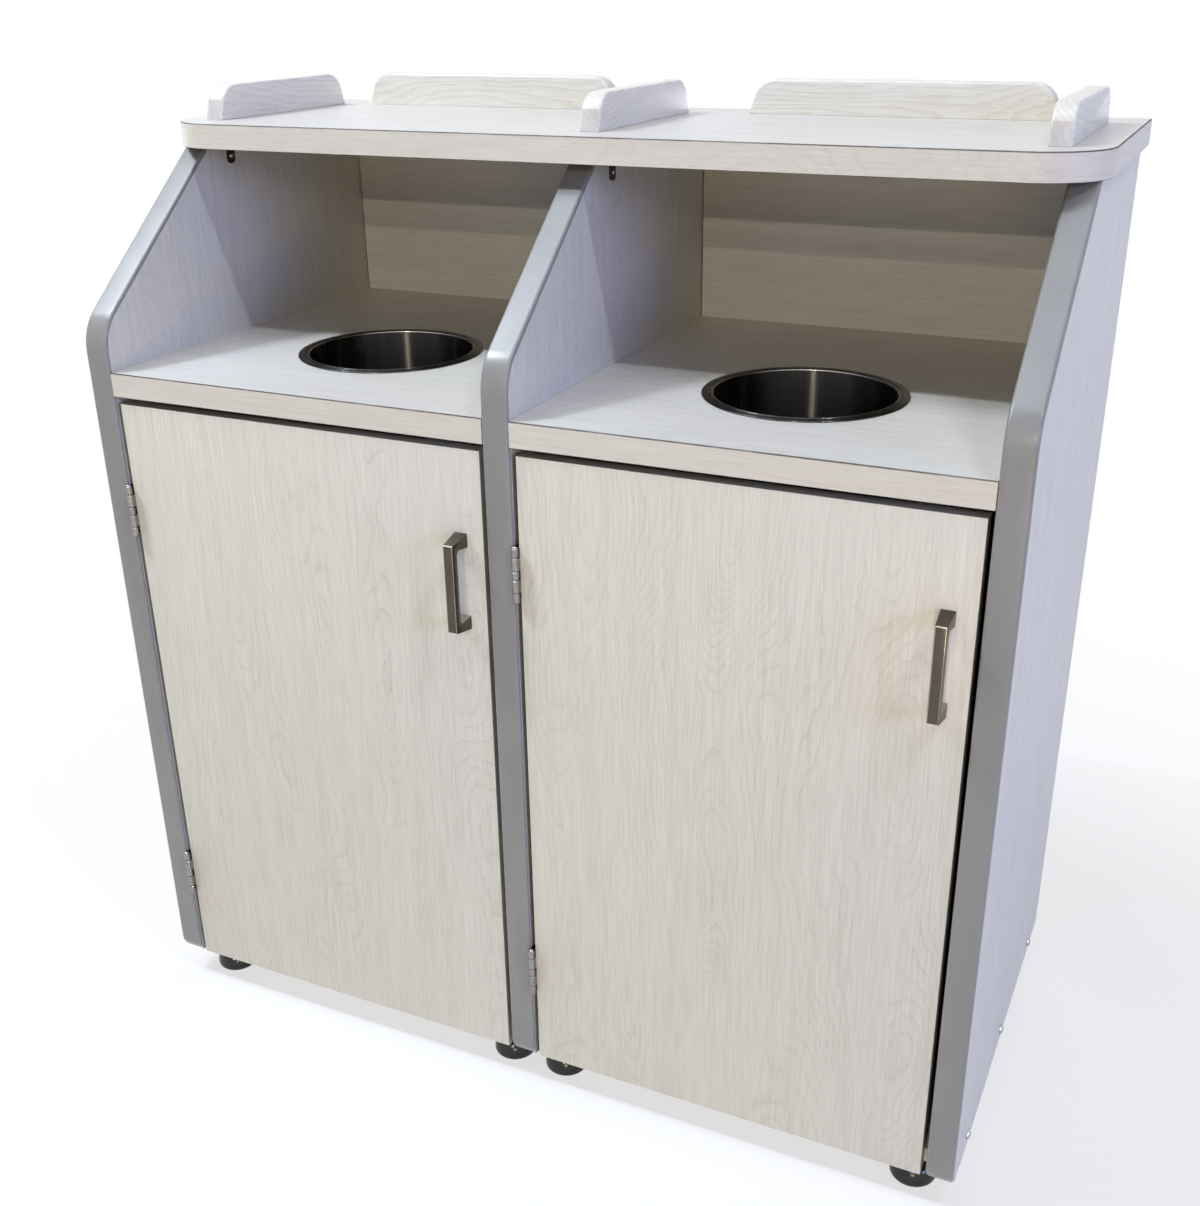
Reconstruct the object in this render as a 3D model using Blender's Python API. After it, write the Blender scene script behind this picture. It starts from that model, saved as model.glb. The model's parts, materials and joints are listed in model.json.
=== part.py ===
"""Double waste receptacle: two tray-drop bays above two cupboards, each with a bin.

Metres, +Z up, front towards -Y. The origin is on the floor, under the middle of the
object's plan, handles included.
"""
import math

import bmesh
import bpy
from mathutils import Matrix, Vector

# Fits
FIT_GAP = 0.0003              # between pieces that touch
CUT_OVERRUN = 0.003           # how far a groove's cutter runs past its ends

# Carcass
CABINET_WIDTH = 1.105         # over the outer faces of the side panels
PANEL_THICKNESS = 0.032
PANEL_DEPTH = 0.566           # front of the moulding to the back
PANEL_HEIGHT = 1.085          # lower edge to the underside of the top
FLOOR_CLEARANCE = 0.036       # floor to the panels' lower edge
BEND_HEIGHT = 0.900           # lower edge to the corner of front and slope
SLOPE_RUN = 0.224             # front to the slope's upper end
BEND_RADIUS = 0.060
TOE_RADIUS = 0.026            # lower front corner
BACK_THICKNESS = 0.012
BOTTOM_THICKNESS = 0.019
BOTTOM_LIFT = 0.0105          # panels' lower edge to the bottom panel
BOTTOM_DOOR_GAP = 0.002

# Edge moulding
MOULDING_THICKNESS = 0.0045
MOULDING_EASE = 0.0035
MOULDING_TAIL = 0.020         # run under the panel behind the toe
TONGUE_THICKNESS = 0.0024
TONGUE_DEPTH = 0.009

# Top
TOP_THICKNESS = 0.029
TOP_NOSE = 0.043              # reach in front of the slope's upper end
TOP_SIDE_OVERHANG = 0.008
TOP_CORNER_RADIUS = 0.075

# Deck and chute
DECK_HEIGHT = 0.8485          # panels' lower edge to the deck's surface
DECK_THICKNESS = 0.029
DECK_SETBACK = 0.0015
CHUTE_SETBACK = 0.223         # front to the chute's axis
CHUTE_THROAT_RADIUS = 0.1010
CHUTE_WALL = 0.0015
CHUTE_DEPTH = 0.150
CHUTE_FLANGE_WIDTH = 0.0118
CHUTE_FLANGE_THICKNESS = 0.002
CHUTE_LIP_RADIUS = 0.003
CHUTE_CLEARANCE = 0.001

# Tray guides
GUIDE_HEIGHT = 0.040
GUIDE_THICKNESS = 0.024
GUIDE_SIDE_INSET = 0.040      # from the top's side edge
GUIDE_FRONT_INSET = 0.048     # from the top's front edge
GUIDE_SLANT = 18.0            # degrees that the ends lean
GUIDE_ROUND = 0.028
GUIDE_EASE = 0.003
CENTRE_GUIDE_OFFSET = 0.006
REAR_GUIDE_LENGTH = 0.372
REAR_GUIDE_INSET = 0.043      # from the top's back edge
LEFT_REAR_GUIDE_OFFSET = -0.002
RIGHT_REAR_GUIDE_OFFSET = 0.014

# Doors
DOOR_THICKNESS = 0.019
DOOR_SETBACK = 0.004
DOOR_SIDE_GAP = 0.006
DOOR_LIFT = 0.008             # panels' lower edge to the door's lower edge
DOOR_TOP_GAP = 0.0085
DOOR_EASE = 0.0008

# Handles
HANDLE_LENGTH = 0.115         # over the legs, at the door
HANDLE_FACE_LENGTH = 0.104
HANDLE_PROJECTION = 0.030
HANDLE_LEG_HEIGHT = 0.016
HANDLE_FACE_LEG_HEIGHT = 0.008
HANDLE_BASE_WIDTH = 0.015
HANDLE_FACE_WIDTH = 0.012
HANDLE_BAR_DEPTH = 0.009
HANDLE_EASE = 0.0008
HANDLE_EDGE_INSET = 0.028     # door's free edge to the handle's middle
HANDLE_DROP = 0.154           # door's upper edge to the handle's middle

# Hinges
HINGE_LENGTH = 0.065
HINGE_END_INSET = 0.135       # door's end to the hinge's middle
KNUCKLES = 5
KNUCKLE_GAP = 0.0004
BARREL_RADIUS = 0.004
LEAF_THICKNESS = 0.0015
LEAF_WIDTH = 0.018
PIN_RADIUS = 0.0018
PIN_CLEARANCE = 0.0002
PIN_HEAD_RADIUS = 0.003
PIN_HEAD_HEIGHT = 0.0015
PIN_CROWN_RADIUS = 0.0021

# Catches
CATCH_SIZE = (0.050, 0.016, 0.022)
STRIKE_SIZE = (0.040, 0.0015, 0.014)
CATCH_EDGE_INSET = 0.060      # door's free edge to the catch's middle

# Glides
FOOT_RADIUS = 0.028
FOOT_EDGE = 0.006
FOOT_DOME_HEIGHT = 0.030
FOOT_NECK_RADIUS = 0.009
STEM_RADIUS = 0.006
STEM_ENGAGEMENT = 0.014       # stem inside the bottom panel
FOOT_SIDE_INSET = 0.022       # panel's inner face to the stem
FOOT_FRONT_INSET = 0.050
FOOT_BACK_INSET = 0.050

# Side bolts
BOLT_HEAD_RADIUS = 0.0065
BOLT_HEAD_HEIGHT = 0.0035
BOLT_SHANK_RADIUS = 0.003
BOLT_GRIP = 0.012             # shank inside the bottom panel
BOLT_FRONT_INSET = 0.078
BOLT_SPACING = 0.202
BOLTS_PER_SIDE = 3

# Top brackets
BRACKET_LEG = 0.026
BRACKET_WIDTH = 0.014
BRACKET_THICKNESS = 0.002
BRACKET_END_RADIUS = 0.0056
BRACKET_SETBACK = 0.267

# Bins
BIN_SIDE_CLEARANCE = 0.022
BIN_DEPTH_CLEARANCE = 0.040
BIN_TOP_CLEARANCE = 0.018     # under the chute
BIN_TAPER = 0.030             # how far each side leans in at the foot
BIN_WALL = 0.003
BIN_RIM_WIDTH = 0.012
BIN_RIM_HEIGHT = 0.018
BIN_CORNER_RADIUS = 0.050

# Facets
ARC_STEPS = 6
DOME_STEPS = 4
RING_SEGMENTS = 36
FOOT_SEGMENTS = 16
BOLT_SEGMENTS = 12
HINGE_SEGMENTS = 12
SMOOTH_ANGLE = math.radians(40)

# Derived plan
HANDLE_REACH = HANDLE_PROJECTION + FIT_GAP - DOOR_SETBACK
FRONT_Y = -(PANEL_DEPTH - HANDLE_REACH) / 2
BACK_Y = FRONT_Y + PANEL_DEPTH
BACK_FACE_Y = BACK_Y - BACK_THICKNESS
DOOR_FRONT_Y = FRONT_Y + DOOR_SETBACK
DOOR_BACK_Y = DOOR_FRONT_Y + DOOR_THICKNESS
BAY_WIDTH = (CABINET_WIDTH - 3 * PANEL_THICKNESS) / 2
BAY_X = {"left": -(BAY_WIDTH + PANEL_THICKNESS) / 2, "right": (BAY_WIDTH + PANEL_THICKNESS) / 2}
PANEL_X = {
    "left": -(CABINET_WIDTH - PANEL_THICKNESS) / 2,
    "centre": 0.0,
    "right": (CABINET_WIDTH - PANEL_THICKNESS) / 2,
}
TOP_FRONT_Y = FRONT_Y + SLOPE_RUN - TOP_NOSE
TOP_HALF_WIDTH = CABINET_WIDTH / 2 + TOP_SIDE_OVERHANG
REAR_GUIDE_Y = BACK_Y - REAR_GUIDE_INSET - GUIDE_THICKNESS
CHUTE_Y = FRONT_Y + CHUTE_SETBACK

# Derived heights
BOTTOM_Z = FLOOR_CLEARANCE + BOTTOM_LIFT
BOTTOM_TOP_Z = BOTTOM_Z + BOTTOM_THICKNESS
DECK_TOP_Z = FLOOR_CLEARANCE + DECK_HEIGHT
DECK_UNDER_Z = DECK_TOP_Z - DECK_THICKNESS
TOP_UNDER_Z = FLOOR_CLEARANCE + PANEL_HEIGHT + FIT_GAP
TOP_Z = TOP_UNDER_Z + TOP_THICKNESS
DOOR_LOW_Z = FLOOR_CLEARANCE + DOOR_LIFT
DOOR_HIGH_Z = DECK_UNDER_Z - DOOR_TOP_GAP
HINGE_Z = {"lower": DOOR_LOW_Z + HINGE_END_INSET, "upper": DOOR_HIGH_Z - HINGE_END_INSET}
BOLT_Z = BOTTOM_Z + BOTTOM_THICKNESS / 2

# The slope leans back by this angle
SLOPE_ANGLE = math.atan2(SLOPE_RUN, PANEL_HEIGHT - BEND_HEIGHT)
BEND_START = BEND_HEIGHT - BEND_RADIUS * math.tan(SLOPE_ANGLE / 2)
SLOPE_DIRECTION = Vector((0, math.sin(SLOPE_ANGLE), math.cos(SLOPE_ANGLE)))


def hinge_setback():
    """Depth of the barrel's axis behind the front, clear of the moulding and the door's edge."""
    half_gap = DOOR_SIDE_GAP / 2
    ease = min(MOULDING_EASE, MOULDING_THICKNESS)
    reach = ease + BARREL_RADIUS + FIT_GAP
    from_moulding = ease - math.sqrt(max(reach ** 2 - (half_gap + ease) ** 2, 0))
    reach = BARREL_RADIUS + FIT_GAP
    from_door = DOOR_SETBACK - math.sqrt(max(reach ** 2 - half_gap ** 2, 0))
    return min(from_moulding, from_door)


HINGE_Y = FRONT_Y + hinge_setback()


def clear_scene():
    """Empties the scene of its objects."""
    for item in list(bpy.data.objects):
        bpy.data.objects.remove(item, do_unlink=True)


def material(name, colour, roughness, metallic=0.0):
    """A plain finish of one colour."""
    finish = bpy.data.materials.new(name)
    finish.use_nodes = True
    shader = finish.node_tree.nodes["Principled BSDF"]
    shader.inputs["Base Color"].default_value = (*colour, 1.0)
    shader.inputs["Roughness"].default_value = roughness
    shader.inputs["Metallic"].default_value = metallic
    return finish


def empty(name, at=(0, 0, 0)):
    """An axis or group that pieces hang on."""
    item = bpy.data.objects.new(name, None)
    item.location = at
    bpy.context.scene.collection.objects.link(item)
    return item


def to_mesh(name, bm, finish=None, smooth=False):
    """Turns a finished bmesh into a mesh with its faces pointing out."""
    bmesh.ops.recalc_face_normals(bm, faces=bm.faces)
    mesh = bpy.data.meshes.new(name)
    bm.to_mesh(mesh)
    bm.free()
    if finish:
        mesh.materials.append(finish)
    if smooth:
        mesh.shade_smooth()
        mesh.set_sharp_from_angle(angle=SMOOTH_ANGLE)
    return mesh


def place(name, mesh, at, parent):
    """Adds a mesh to the scene at a world point, carried by a parent."""
    item = bpy.data.objects.new(name, mesh)
    bpy.context.scene.collection.objects.link(item)
    item.parent = parent
    item.location = Vector(at) - parent.location
    return item


def cutter(name, bm, at):
    """A hidden tool that a Boolean cuts with."""
    item = bpy.data.objects.new(name, to_mesh(name, bm))
    item.location = at
    item.hide_render = True
    item.display_type = "WIRE"
    bpy.context.scene.collection.objects.link(item)
    return item


def cut(item, tool):
    """Cuts a tool's shape out of a piece."""
    modifier = item.modifiers.new("cut", "BOOLEAN")
    modifier.operation = "DIFFERENCE"
    modifier.solver = "EXACT"
    modifier.object = tool


def arc(centre, radius, start, end, steps=ARC_STEPS):
    """Points along an arc, angles in radians, both ends included."""
    angles = [start + (end - start) * i / steps for i in range(steps + 1)]
    return [(centre[0] + radius * math.cos(a), centre[1] + radius * math.sin(a)) for a in angles]


def add_box(bm, low, high):
    """A box between two corners."""
    size = Vector(high) - Vector(low)
    middle = (Vector(high) + Vector(low)) / 2
    matrix = Matrix.Translation(middle) @ Matrix.Diagonal((*size, 1))
    return bmesh.ops.create_cube(bm, size=1, matrix=matrix)["verts"]


def add_cylinder(bm, centre, radius, length, axis, segments):
    """A closed cylinder about X or Z, by its middle."""
    turn = Matrix.Rotation(math.pi / 2, 4, "Y") if axis == "X" else Matrix.Identity(4)
    bmesh.ops.create_cone(
        bm, cap_ends=True, segments=segments, radius1=radius, radius2=radius, depth=length,
        matrix=Matrix.Translation(centre) @ turn)


def push(bm, faces, offset):
    """Extrudes faces along an offset and returns the moved ones."""
    moved = bmesh.ops.extrude_face_region(bm, geom=faces)["geom"]
    bmesh.ops.translate(bm, verts=[v for v in moved if isinstance(v, bmesh.types.BMVert)], vec=offset)
    return [f for f in moved if isinstance(f, bmesh.types.BMFace)]


def swing(bm, faces, centre, angle):
    """Sweeps faces round an axis along X and returns the last ones."""
    last = bmesh.ops.spin(
        bm, geom=faces, cent=centre, axis=(1, 0, 0), angle=angle, steps=ARC_STEPS)["geom_last"]
    return [f for f in last if isinstance(f, bmesh.types.BMFace)]


def open_inside(bm):
    """Takes out the faces left inside where one stretch of a shell carries on from another."""
    inside = [f for f in bm.faces if all(len(e.link_faces) > 2 for e in f.edges)]
    bmesh.ops.delete(bm, geom=inside, context="FACES_ONLY")


def prism(points, offset):
    """A closed outline of 3-D points, pushed along an offset."""
    bm = bmesh.new()
    face = bm.faces.new([bm.verts.new(p) for p in points])
    push(bm, [face], offset)
    return bm


def loft(rings):
    """A closed shell through rings of as many points, capped by the first and the last."""
    bm = bmesh.new()
    faces = [bm.faces.new([bm.verts.new(p) for p in rings[0]])]
    for ring in rings[1:]:
        faces = push(bm, faces, (0, 0, 0))
        for vert, point in zip(faces[0].verts, ring):
            vert.co = point
    open_inside(bm)
    return bm


def turned(profile, segments, closed=False):
    """A profile of (radius, height) points turned about Z."""
    bm = bmesh.new()
    verts = [bm.verts.new((r, 0, z)) for r, z in profile]
    edges = [bm.edges.new(pair) for pair in zip(verts, verts[1:])]
    if closed:
        edges.append(bm.edges.new((verts[-1], verts[0])))
    bmesh.ops.spin(
        bm, geom=verts + edges, cent=(0, 0, 0), axis=(0, 0, 1), angle=2 * math.pi,
        steps=segments, use_merge=True)
    bmesh.ops.remove_doubles(bm, verts=bm.verts, dist=1e-6)
    return bm


def rounded_rectangle(half_x, half_y, radius):
    """Corner points of a rectangle with round corners, anticlockwise."""
    points = []
    for quarter, (sx, sy) in enumerate(((1, 1), (-1, 1), (-1, -1), (1, -1))):
        centre = (sx * (half_x - radius), sy * (half_y - radius))
        start = quarter * math.pi / 2
        points += arc(centre, radius, start, start + math.pi / 2)
    return points


def box_piece(name, low, high, finish, parent):
    """A plain board between two corners, with its origin in its middle."""
    middle = (Vector(low) + Vector(high)) / 2
    bm = bmesh.new()
    add_box(bm, Vector(low) - middle, Vector(high) - middle)
    return place(name, to_mesh(name, bm, finish), middle, parent)


def moulding_section():
    """Cross-section of the T-moulding: (across, depth) with the face at depth 0."""
    half = PANEL_THICKNESS / 2
    ease = min(MOULDING_EASE, MOULDING_THICKNESS)
    tongue = TONGUE_THICKNESS / 2
    root = MOULDING_THICKNESS
    tip = MOULDING_THICKNESS + TONGUE_DEPTH
    face = arc((-half + ease, ease), ease, math.pi, 1.5 * math.pi, 3)
    face += arc((half - ease, ease), ease, 1.5 * math.pi, 2 * math.pi, 3)
    back = [(half, root), (tongue, root), (tongue, tip), (-tongue, tip), (-tongue, root), (-half, root)]
    return face + back


def groove_section():
    """Cross-section of the groove that takes the tongue, open to the front."""
    half = TONGUE_THICKNESS / 2 + FIT_GAP
    floor = MOULDING_THICKNESS + TONGUE_DEPTH + FIT_GAP
    return [(-half, 0), (half, 0), (half, floor), (-half, floor)]


def sweep_front(section, tail, top):
    """Runs a section from under the toe, up the front, round the bend and up the slope."""
    bm = bmesh.new()
    start = TOE_RADIUS + tail
    faces = [bm.faces.new([bm.verts.new((s, start, d)) for s, d in section])]
    faces = push(bm, faces, (0, -tail, 0))
    faces = swing(bm, faces, (0, TOE_RADIUS, TOE_RADIUS), -math.pi / 2)
    faces = push(bm, faces, (0, 0, BEND_START - TOE_RADIUS))
    faces = swing(bm, faces, (0, BEND_RADIUS, BEND_START), -SLOPE_ANGLE)
    faces = push(bm, faces, (0, 0, 0))
    for vert in {v for f in faces for v in f.verts}:
        vert.co += SLOPE_DIRECTION * ((top - vert.co.z) / SLOPE_DIRECTION.z)
    open_inside(bm)
    return bm


def panel_outline():
    """Side view of a panel behind its moulding: (depth, height) points."""
    inset = MOULDING_THICKNESS + FIT_GAP
    tail = TOE_RADIUS + MOULDING_TAIL + FIT_GAP
    points = [(PANEL_DEPTH, 0), (PANEL_DEPTH, PANEL_HEIGHT)]
    points.append((SLOPE_RUN + inset / math.cos(SLOPE_ANGLE), PANEL_HEIGHT))
    points += arc((BEND_RADIUS, BEND_START), BEND_RADIUS - inset, math.pi - SLOPE_ANGLE, math.pi)
    points += arc((TOE_RADIUS, TOE_RADIUS), TOE_RADIUS - inset, math.pi, 1.5 * math.pi)
    return points + [(tail, inset), (tail, 0)]


def bolt_depths():
    """Distances of the side bolts behind the front."""
    return [BOLT_FRONT_INSET + i * BOLT_SPACING for i in range(BOLTS_PER_SIDE)]


def add_bolt_bores(bm, x, length, depths, height):
    """Clearance bores for the side bolts, along X."""
    for depth in depths:
        add_cylinder(bm, (x, depth, height), BOLT_SHANK_RADIUS + FIT_GAP, length, "X", BOLT_SEGMENTS)


def build_panel(side, finishes, parent):
    """One upright panel with its grooved front edge and its moulding."""
    at = (PANEL_X[side], FRONT_Y, FLOOR_CLEARANCE)
    half = PANEL_THICKNESS / 2
    name = "centre_divider" if side == "centre" else side + "_side_panel"
    bm = prism([(-half, y, z) for y, z in panel_outline()], (PANEL_THICKNESS, 0, 0))
    panel = place(name, to_mesh(name, bm, finishes["laminate"]), at, parent)
    groove = sweep_front(groove_section(), MOULDING_TAIL + CUT_OVERRUN, PANEL_HEIGHT + CUT_OVERRUN)
    if side != "centre":
        add_bolt_bores(groove, 0, 2 * PANEL_THICKNESS, bolt_depths(), BOLT_Z - FLOOR_CLEARANCE)
    cut(panel, cutter("cutter_" + name, groove, at))
    moulding = side + "_edge_moulding"
    bm = sweep_front(moulding_section(), MOULDING_TAIL, PANEL_HEIGHT)
    place(moulding, to_mesh(moulding, bm, finishes["moulding"], True), at, parent)


def build_top(finishes, parent):
    """The top, round at its two front corners."""
    depth = BACK_Y - TOP_FRONT_Y
    inner = TOP_HALF_WIDTH - TOP_CORNER_RADIUS
    points = [(TOP_HALF_WIDTH, depth), (-TOP_HALF_WIDTH, depth)]
    steps = 2 * ARC_STEPS
    points += arc((-inner, TOP_CORNER_RADIUS), TOP_CORNER_RADIUS, math.pi, 1.5 * math.pi, steps)
    points += arc((inner, TOP_CORNER_RADIUS), TOP_CORNER_RADIUS, 1.5 * math.pi, 2 * math.pi, steps)
    bm = prism([(x, y, 0) for x, y in points], (0, 0, TOP_THICKNESS))
    mesh = to_mesh("top_panel", bm, finishes["laminate"])
    place("top_panel", mesh, (0, TOP_FRONT_Y, TOP_UNDER_Z), parent)


def build_bay_boards(bay, finishes, parent):
    """Back, deck and bottom of one bay."""
    left = BAY_X[bay] - BAY_WIDTH / 2 + FIT_GAP
    right = BAY_X[bay] + BAY_WIDTH / 2 - FIT_GAP
    board = finishes["laminate"]
    box_piece(
        bay + "_back_panel", (left, BACK_FACE_Y, FLOOR_CLEARANCE),
        (right, BACK_Y, TOP_UNDER_Z - FIT_GAP), board, parent)
    deck = box_piece(
        bay + "_deck", (left, FRONT_Y + DECK_SETBACK, DECK_UNDER_Z),
        (right, BACK_FACE_Y - FIT_GAP, DECK_TOP_Z), board, parent)
    hole = bmesh.new()
    radius = CHUTE_THROAT_RADIUS + CHUTE_WALL + CHUTE_CLEARANCE
    add_cylinder(hole, (0, 0, 0), radius, 2 * DECK_THICKNESS, "Z", RING_SEGMENTS)
    cut(deck, cutter("cutter_" + bay + "_deck", hole, (BAY_X[bay], CHUTE_Y, deck.location.z)))
    bottom = box_piece(
        bay + "_bottom_panel", (left, DOOR_BACK_Y + BOTTOM_DOOR_GAP, BOTTOM_Z),
        (right, BACK_FACE_Y - FIT_GAP, BOTTOM_TOP_Z), board, parent)
    cut(bottom, bottom_bores(bay))


def foot_places(bay):
    """Plan points of one bay's four glides."""
    reach = BAY_WIDTH / 2 - FOOT_SIDE_INSET
    rows = (("front", FRONT_Y + FOOT_FRONT_INSET), ("rear", BACK_Y - FOOT_BACK_INSET))
    columns = (("outer", -reach), ("inner", reach))
    if bay == "right":
        columns = (("inner", -reach), ("outer", reach))
    return {row + "_" + column: (BAY_X[bay] + x, y) for row, y in rows for column, x in columns}


def bottom_bores(bay):
    """Bores for the glides' stems and for the side bolts in one bottom panel."""
    bm = bmesh.new()
    for x, y in foot_places(bay).values():
        add_cylinder(bm, (x, y, BOLT_Z), STEM_RADIUS + FIT_GAP, 2 * BOTTOM_THICKNESS, "Z", FOOT_SEGMENTS)
    outward = -1 if bay == "left" else 1
    edge = BAY_X[bay] + outward * BAY_WIDTH / 2
    depths = [FRONT_Y + depth for depth in bolt_depths()]
    add_bolt_bores(bm, edge, 2 * (BOLT_GRIP + FIT_GAP), depths, BOLT_Z)
    return cutter("cutter_" + bay + "_bottom_panel", bm, (0, 0, 0))


def chute_profile():
    """Half-section of a chute ring: (radius, height above its seat) points."""
    throat = CHUTE_THROAT_RADIUS
    lip = CHUTE_LIP_RADIUS
    top = CHUTE_FLANGE_THICKNESS
    rim = throat + CHUTE_WALL + CHUTE_FLANGE_WIDTH
    ease = top / 2
    points = [(throat, -CHUTE_DEPTH)]
    points += arc((throat + lip, top - lip), lip, math.pi, math.pi / 2, 2)
    points += arc((rim - ease, top - ease), ease, math.pi / 2, 0, 1)
    return points + [(rim, 0), (throat + CHUTE_WALL, 0), (throat + CHUTE_WALL, -CHUTE_DEPTH)]


def build_chutes(finishes, parent):
    """The two rings dropped into the decks."""
    mesh = to_mesh("chute_ring", turned(chute_profile(), RING_SEGMENTS, True), finishes["stainless"], True)
    for bay, x in BAY_X.items():
        place(bay + "_chute_ring", mesh, (x, CHUTE_Y, DECK_TOP_Z + FIT_GAP), parent)


def guide_mesh(name, length, finish):
    """A tray guide along X: leaning ends, round upper corners, eased edges."""
    lean = math.radians(GUIDE_SLANT)
    tangent = GUIDE_ROUND * math.tan((math.pi / 2 - lean) / 2)
    corner = length / 2 - GUIDE_HEIGHT * math.tan(lean)
    centre = (corner - tangent, GUIDE_HEIGHT - GUIDE_ROUND)
    end = arc(centre, GUIDE_ROUND, lean, math.pi / 2)
    outline = [(length / 2, 0)] + end + [(-x, z) for x, z in reversed(end)] + [(-length / 2, 0)]
    half = GUIDE_THICKNESS / 2
    bm = prism([(x, -half, z) for x, z in outline], (0, GUIDE_THICKNESS, 0))
    eased = [e for e in bm.edges if is_guide_rim(e)]
    bmesh.ops.bevel(
        bm, geom=eased, offset=GUIDE_EASE, segments=2, profile=0.5, affect="EDGES", material=-1)
    return to_mesh(name, bm, finish, True)


def is_guide_rim(edge):
    """True for an edge round a guide's long faces, apart from its foot."""
    a, b = (v.co for v in edge.verts)
    return abs(a.y - b.y) < FIT_GAP and max(a.z, b.z) > FIT_GAP


def build_guides(finishes, parent):
    """Three guides that run front to back and two along the rear."""
    front = TOP_FRONT_Y + GUIDE_FRONT_INSET
    middle = (front + REAR_GUIDE_Y) / 2
    level = TOP_Z + FIT_GAP
    reach = TOP_HALF_WIDTH - GUIDE_SIDE_INSET - GUIDE_THICKNESS / 2
    mesh = guide_mesh("tray_guide", REAR_GUIDE_Y - front, finishes["solid_wood"])
    for side, x in (("left", -reach), ("centre", CENTRE_GUIDE_OFFSET), ("right", reach)):
        guide = place(side + "_tray_guide", mesh, (x, middle, level), parent)
        guide.rotation_euler.z = math.pi / 2
    mesh = guide_mesh("rear_tray_guide", REAR_GUIDE_LENGTH, finishes["solid_wood"])
    offsets = {"left": LEFT_REAR_GUIDE_OFFSET, "right": RIGHT_REAR_GUIDE_OFFSET}
    for bay, offset in offsets.items():
        at = (BAY_X[bay] + offset, REAR_GUIDE_Y + GUIDE_THICKNESS / 2, level)
        place(bay + "_rear_tray_guide", mesh, at, parent)


def door_edges(bay):
    """X of a door's hinged edge and of its free edge."""
    half = BAY_WIDTH / 2 - DOOR_SIDE_GAP
    return BAY_X[bay] - half, BAY_X[bay] + half


def ease_edges(item, width):
    """Takes the sharpness off a piece's edges."""
    modifier = item.modifiers.new("eased edges", "BEVEL")
    modifier.width = width
    modifier.segments = 1
    modifier.limit_method = "ANGLE"


def handle_mesh(finish):
    """A bow handle: its legs taper from the door to the bar."""
    half = HANDLE_LENGTH / 2
    face = HANDLE_FACE_LENGTH / 2
    bar = -HANDLE_PROJECTION
    outer = [(0, half), (bar, face), (bar, -face), (0, -half)]
    inside = face - HANDLE_FACE_LEG_HEIGHT
    leg = half - HANDLE_LEG_HEIGHT
    inner = [(0, -leg), (bar + HANDLE_BAR_DEPTH, -inside), (bar + HANDLE_BAR_DEPTH, inside), (0, leg)]
    bm = prism([(-0.5, y, z) for y, z in outer + inner], (1, 0, 0))
    for vert in bm.verts:
        reach = vert.co.y / bar
        vert.co.x *= HANDLE_BASE_WIDTH + (HANDLE_FACE_WIDTH - HANDLE_BASE_WIDTH) * reach
    return to_mesh("door_handle", bm, finish)


def build_door(bay, axis, handle, finishes):
    """A door with its handle and strike plate, hung on its axis."""
    hinged, free = door_edges(bay)
    door = box_piece(
        bay + "_door", (hinged, DOOR_FRONT_Y, DOOR_LOW_Z), (free, DOOR_BACK_Y, DOOR_HIGH_Z),
        finishes["laminate"], axis)
    ease_edges(door, DOOR_EASE)
    at = (free - HANDLE_EDGE_INSET, DOOR_FRONT_Y - FIT_GAP, DOOR_HIGH_Z - HANDLE_DROP)
    ease_edges(place(bay + "_door_handle", handle, at, axis), HANDLE_EASE)
    width, depth, height = STRIKE_SIZE
    x = free - CATCH_EDGE_INSET
    low = (x - width / 2, DOOR_BACK_Y + FIT_GAP, DOOR_HIGH_Z - FIT_GAP - height)
    high = (x + width / 2, DOOR_BACK_Y + FIT_GAP + depth, DOOR_HIGH_Z - FIT_GAP)
    box_piece(bay + "_strike_plate", low, high, finishes["zinc"], axis)


def build_catch(bay, finishes, parent):
    """A magnetic catch under the deck, facing the door's strike plate."""
    width, depth, height = CATCH_SIZE
    x = door_edges(bay)[1] - CATCH_EDGE_INSET
    front = DOOR_BACK_Y + STRIKE_SIZE[1] + 2 * FIT_GAP
    top = DECK_UNDER_Z - FIT_GAP
    box_piece(
        bay + "_door_catch", (x - width / 2, front, top - height), (x + width / 2, front + depth, top),
        finishes["black_plastic"], parent)


def leaf_outline(side):
    """A leaf and its rolled knuckle seen along the pin. Side -1 is the frame's, 1 the door's."""
    far = DOOR_SIDE_GAP / 2 - FIT_GAP
    near = far - LEAF_THICKNESS
    end = DOOR_FRONT_Y + LEAF_WIDTH - HINGE_Y
    start = math.acos(near / BARREL_RADIUS)
    stop = 2 * math.pi + math.acos(min(far / BARREL_RADIUS, 0.95))
    points = [(near, end)] + arc((0, 0), BARREL_RADIUS, start, stop, HINGE_SEGMENTS) + [(far, end)]
    return [(side * x, y) for x, y in points]


def add_loop(bm, points):
    """A closed loop of edges through 3-D points."""
    verts = [bm.verts.new(p) for p in points]
    return [bm.edges.new(pair) for pair in zip(verts, verts[1:] + verts[:1])]


def leaf_blank(side):
    """A leaf whose knuckle still runs the whole length of the hinge, bored for the pin."""
    bm = bmesh.new()
    low = -HINGE_LENGTH / 2
    bore = arc((0, 0), PIN_RADIUS + PIN_CLEARANCE, 0, 2 * math.pi, HINGE_SEGMENTS)[:-1]
    edges = add_loop(bm, [(x, y, low) for x, y in leaf_outline(side)])
    edges += add_loop(bm, [(x, y, low) for x, y in bore])
    filled = bmesh.ops.triangle_fill(bm, edges=edges, normal=(0, 0, 1))["geom"]
    push(bm, [f for f in filled if isinstance(f, bmesh.types.BMFace)], (0, 0, HINGE_LENGTH))
    return bm


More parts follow.
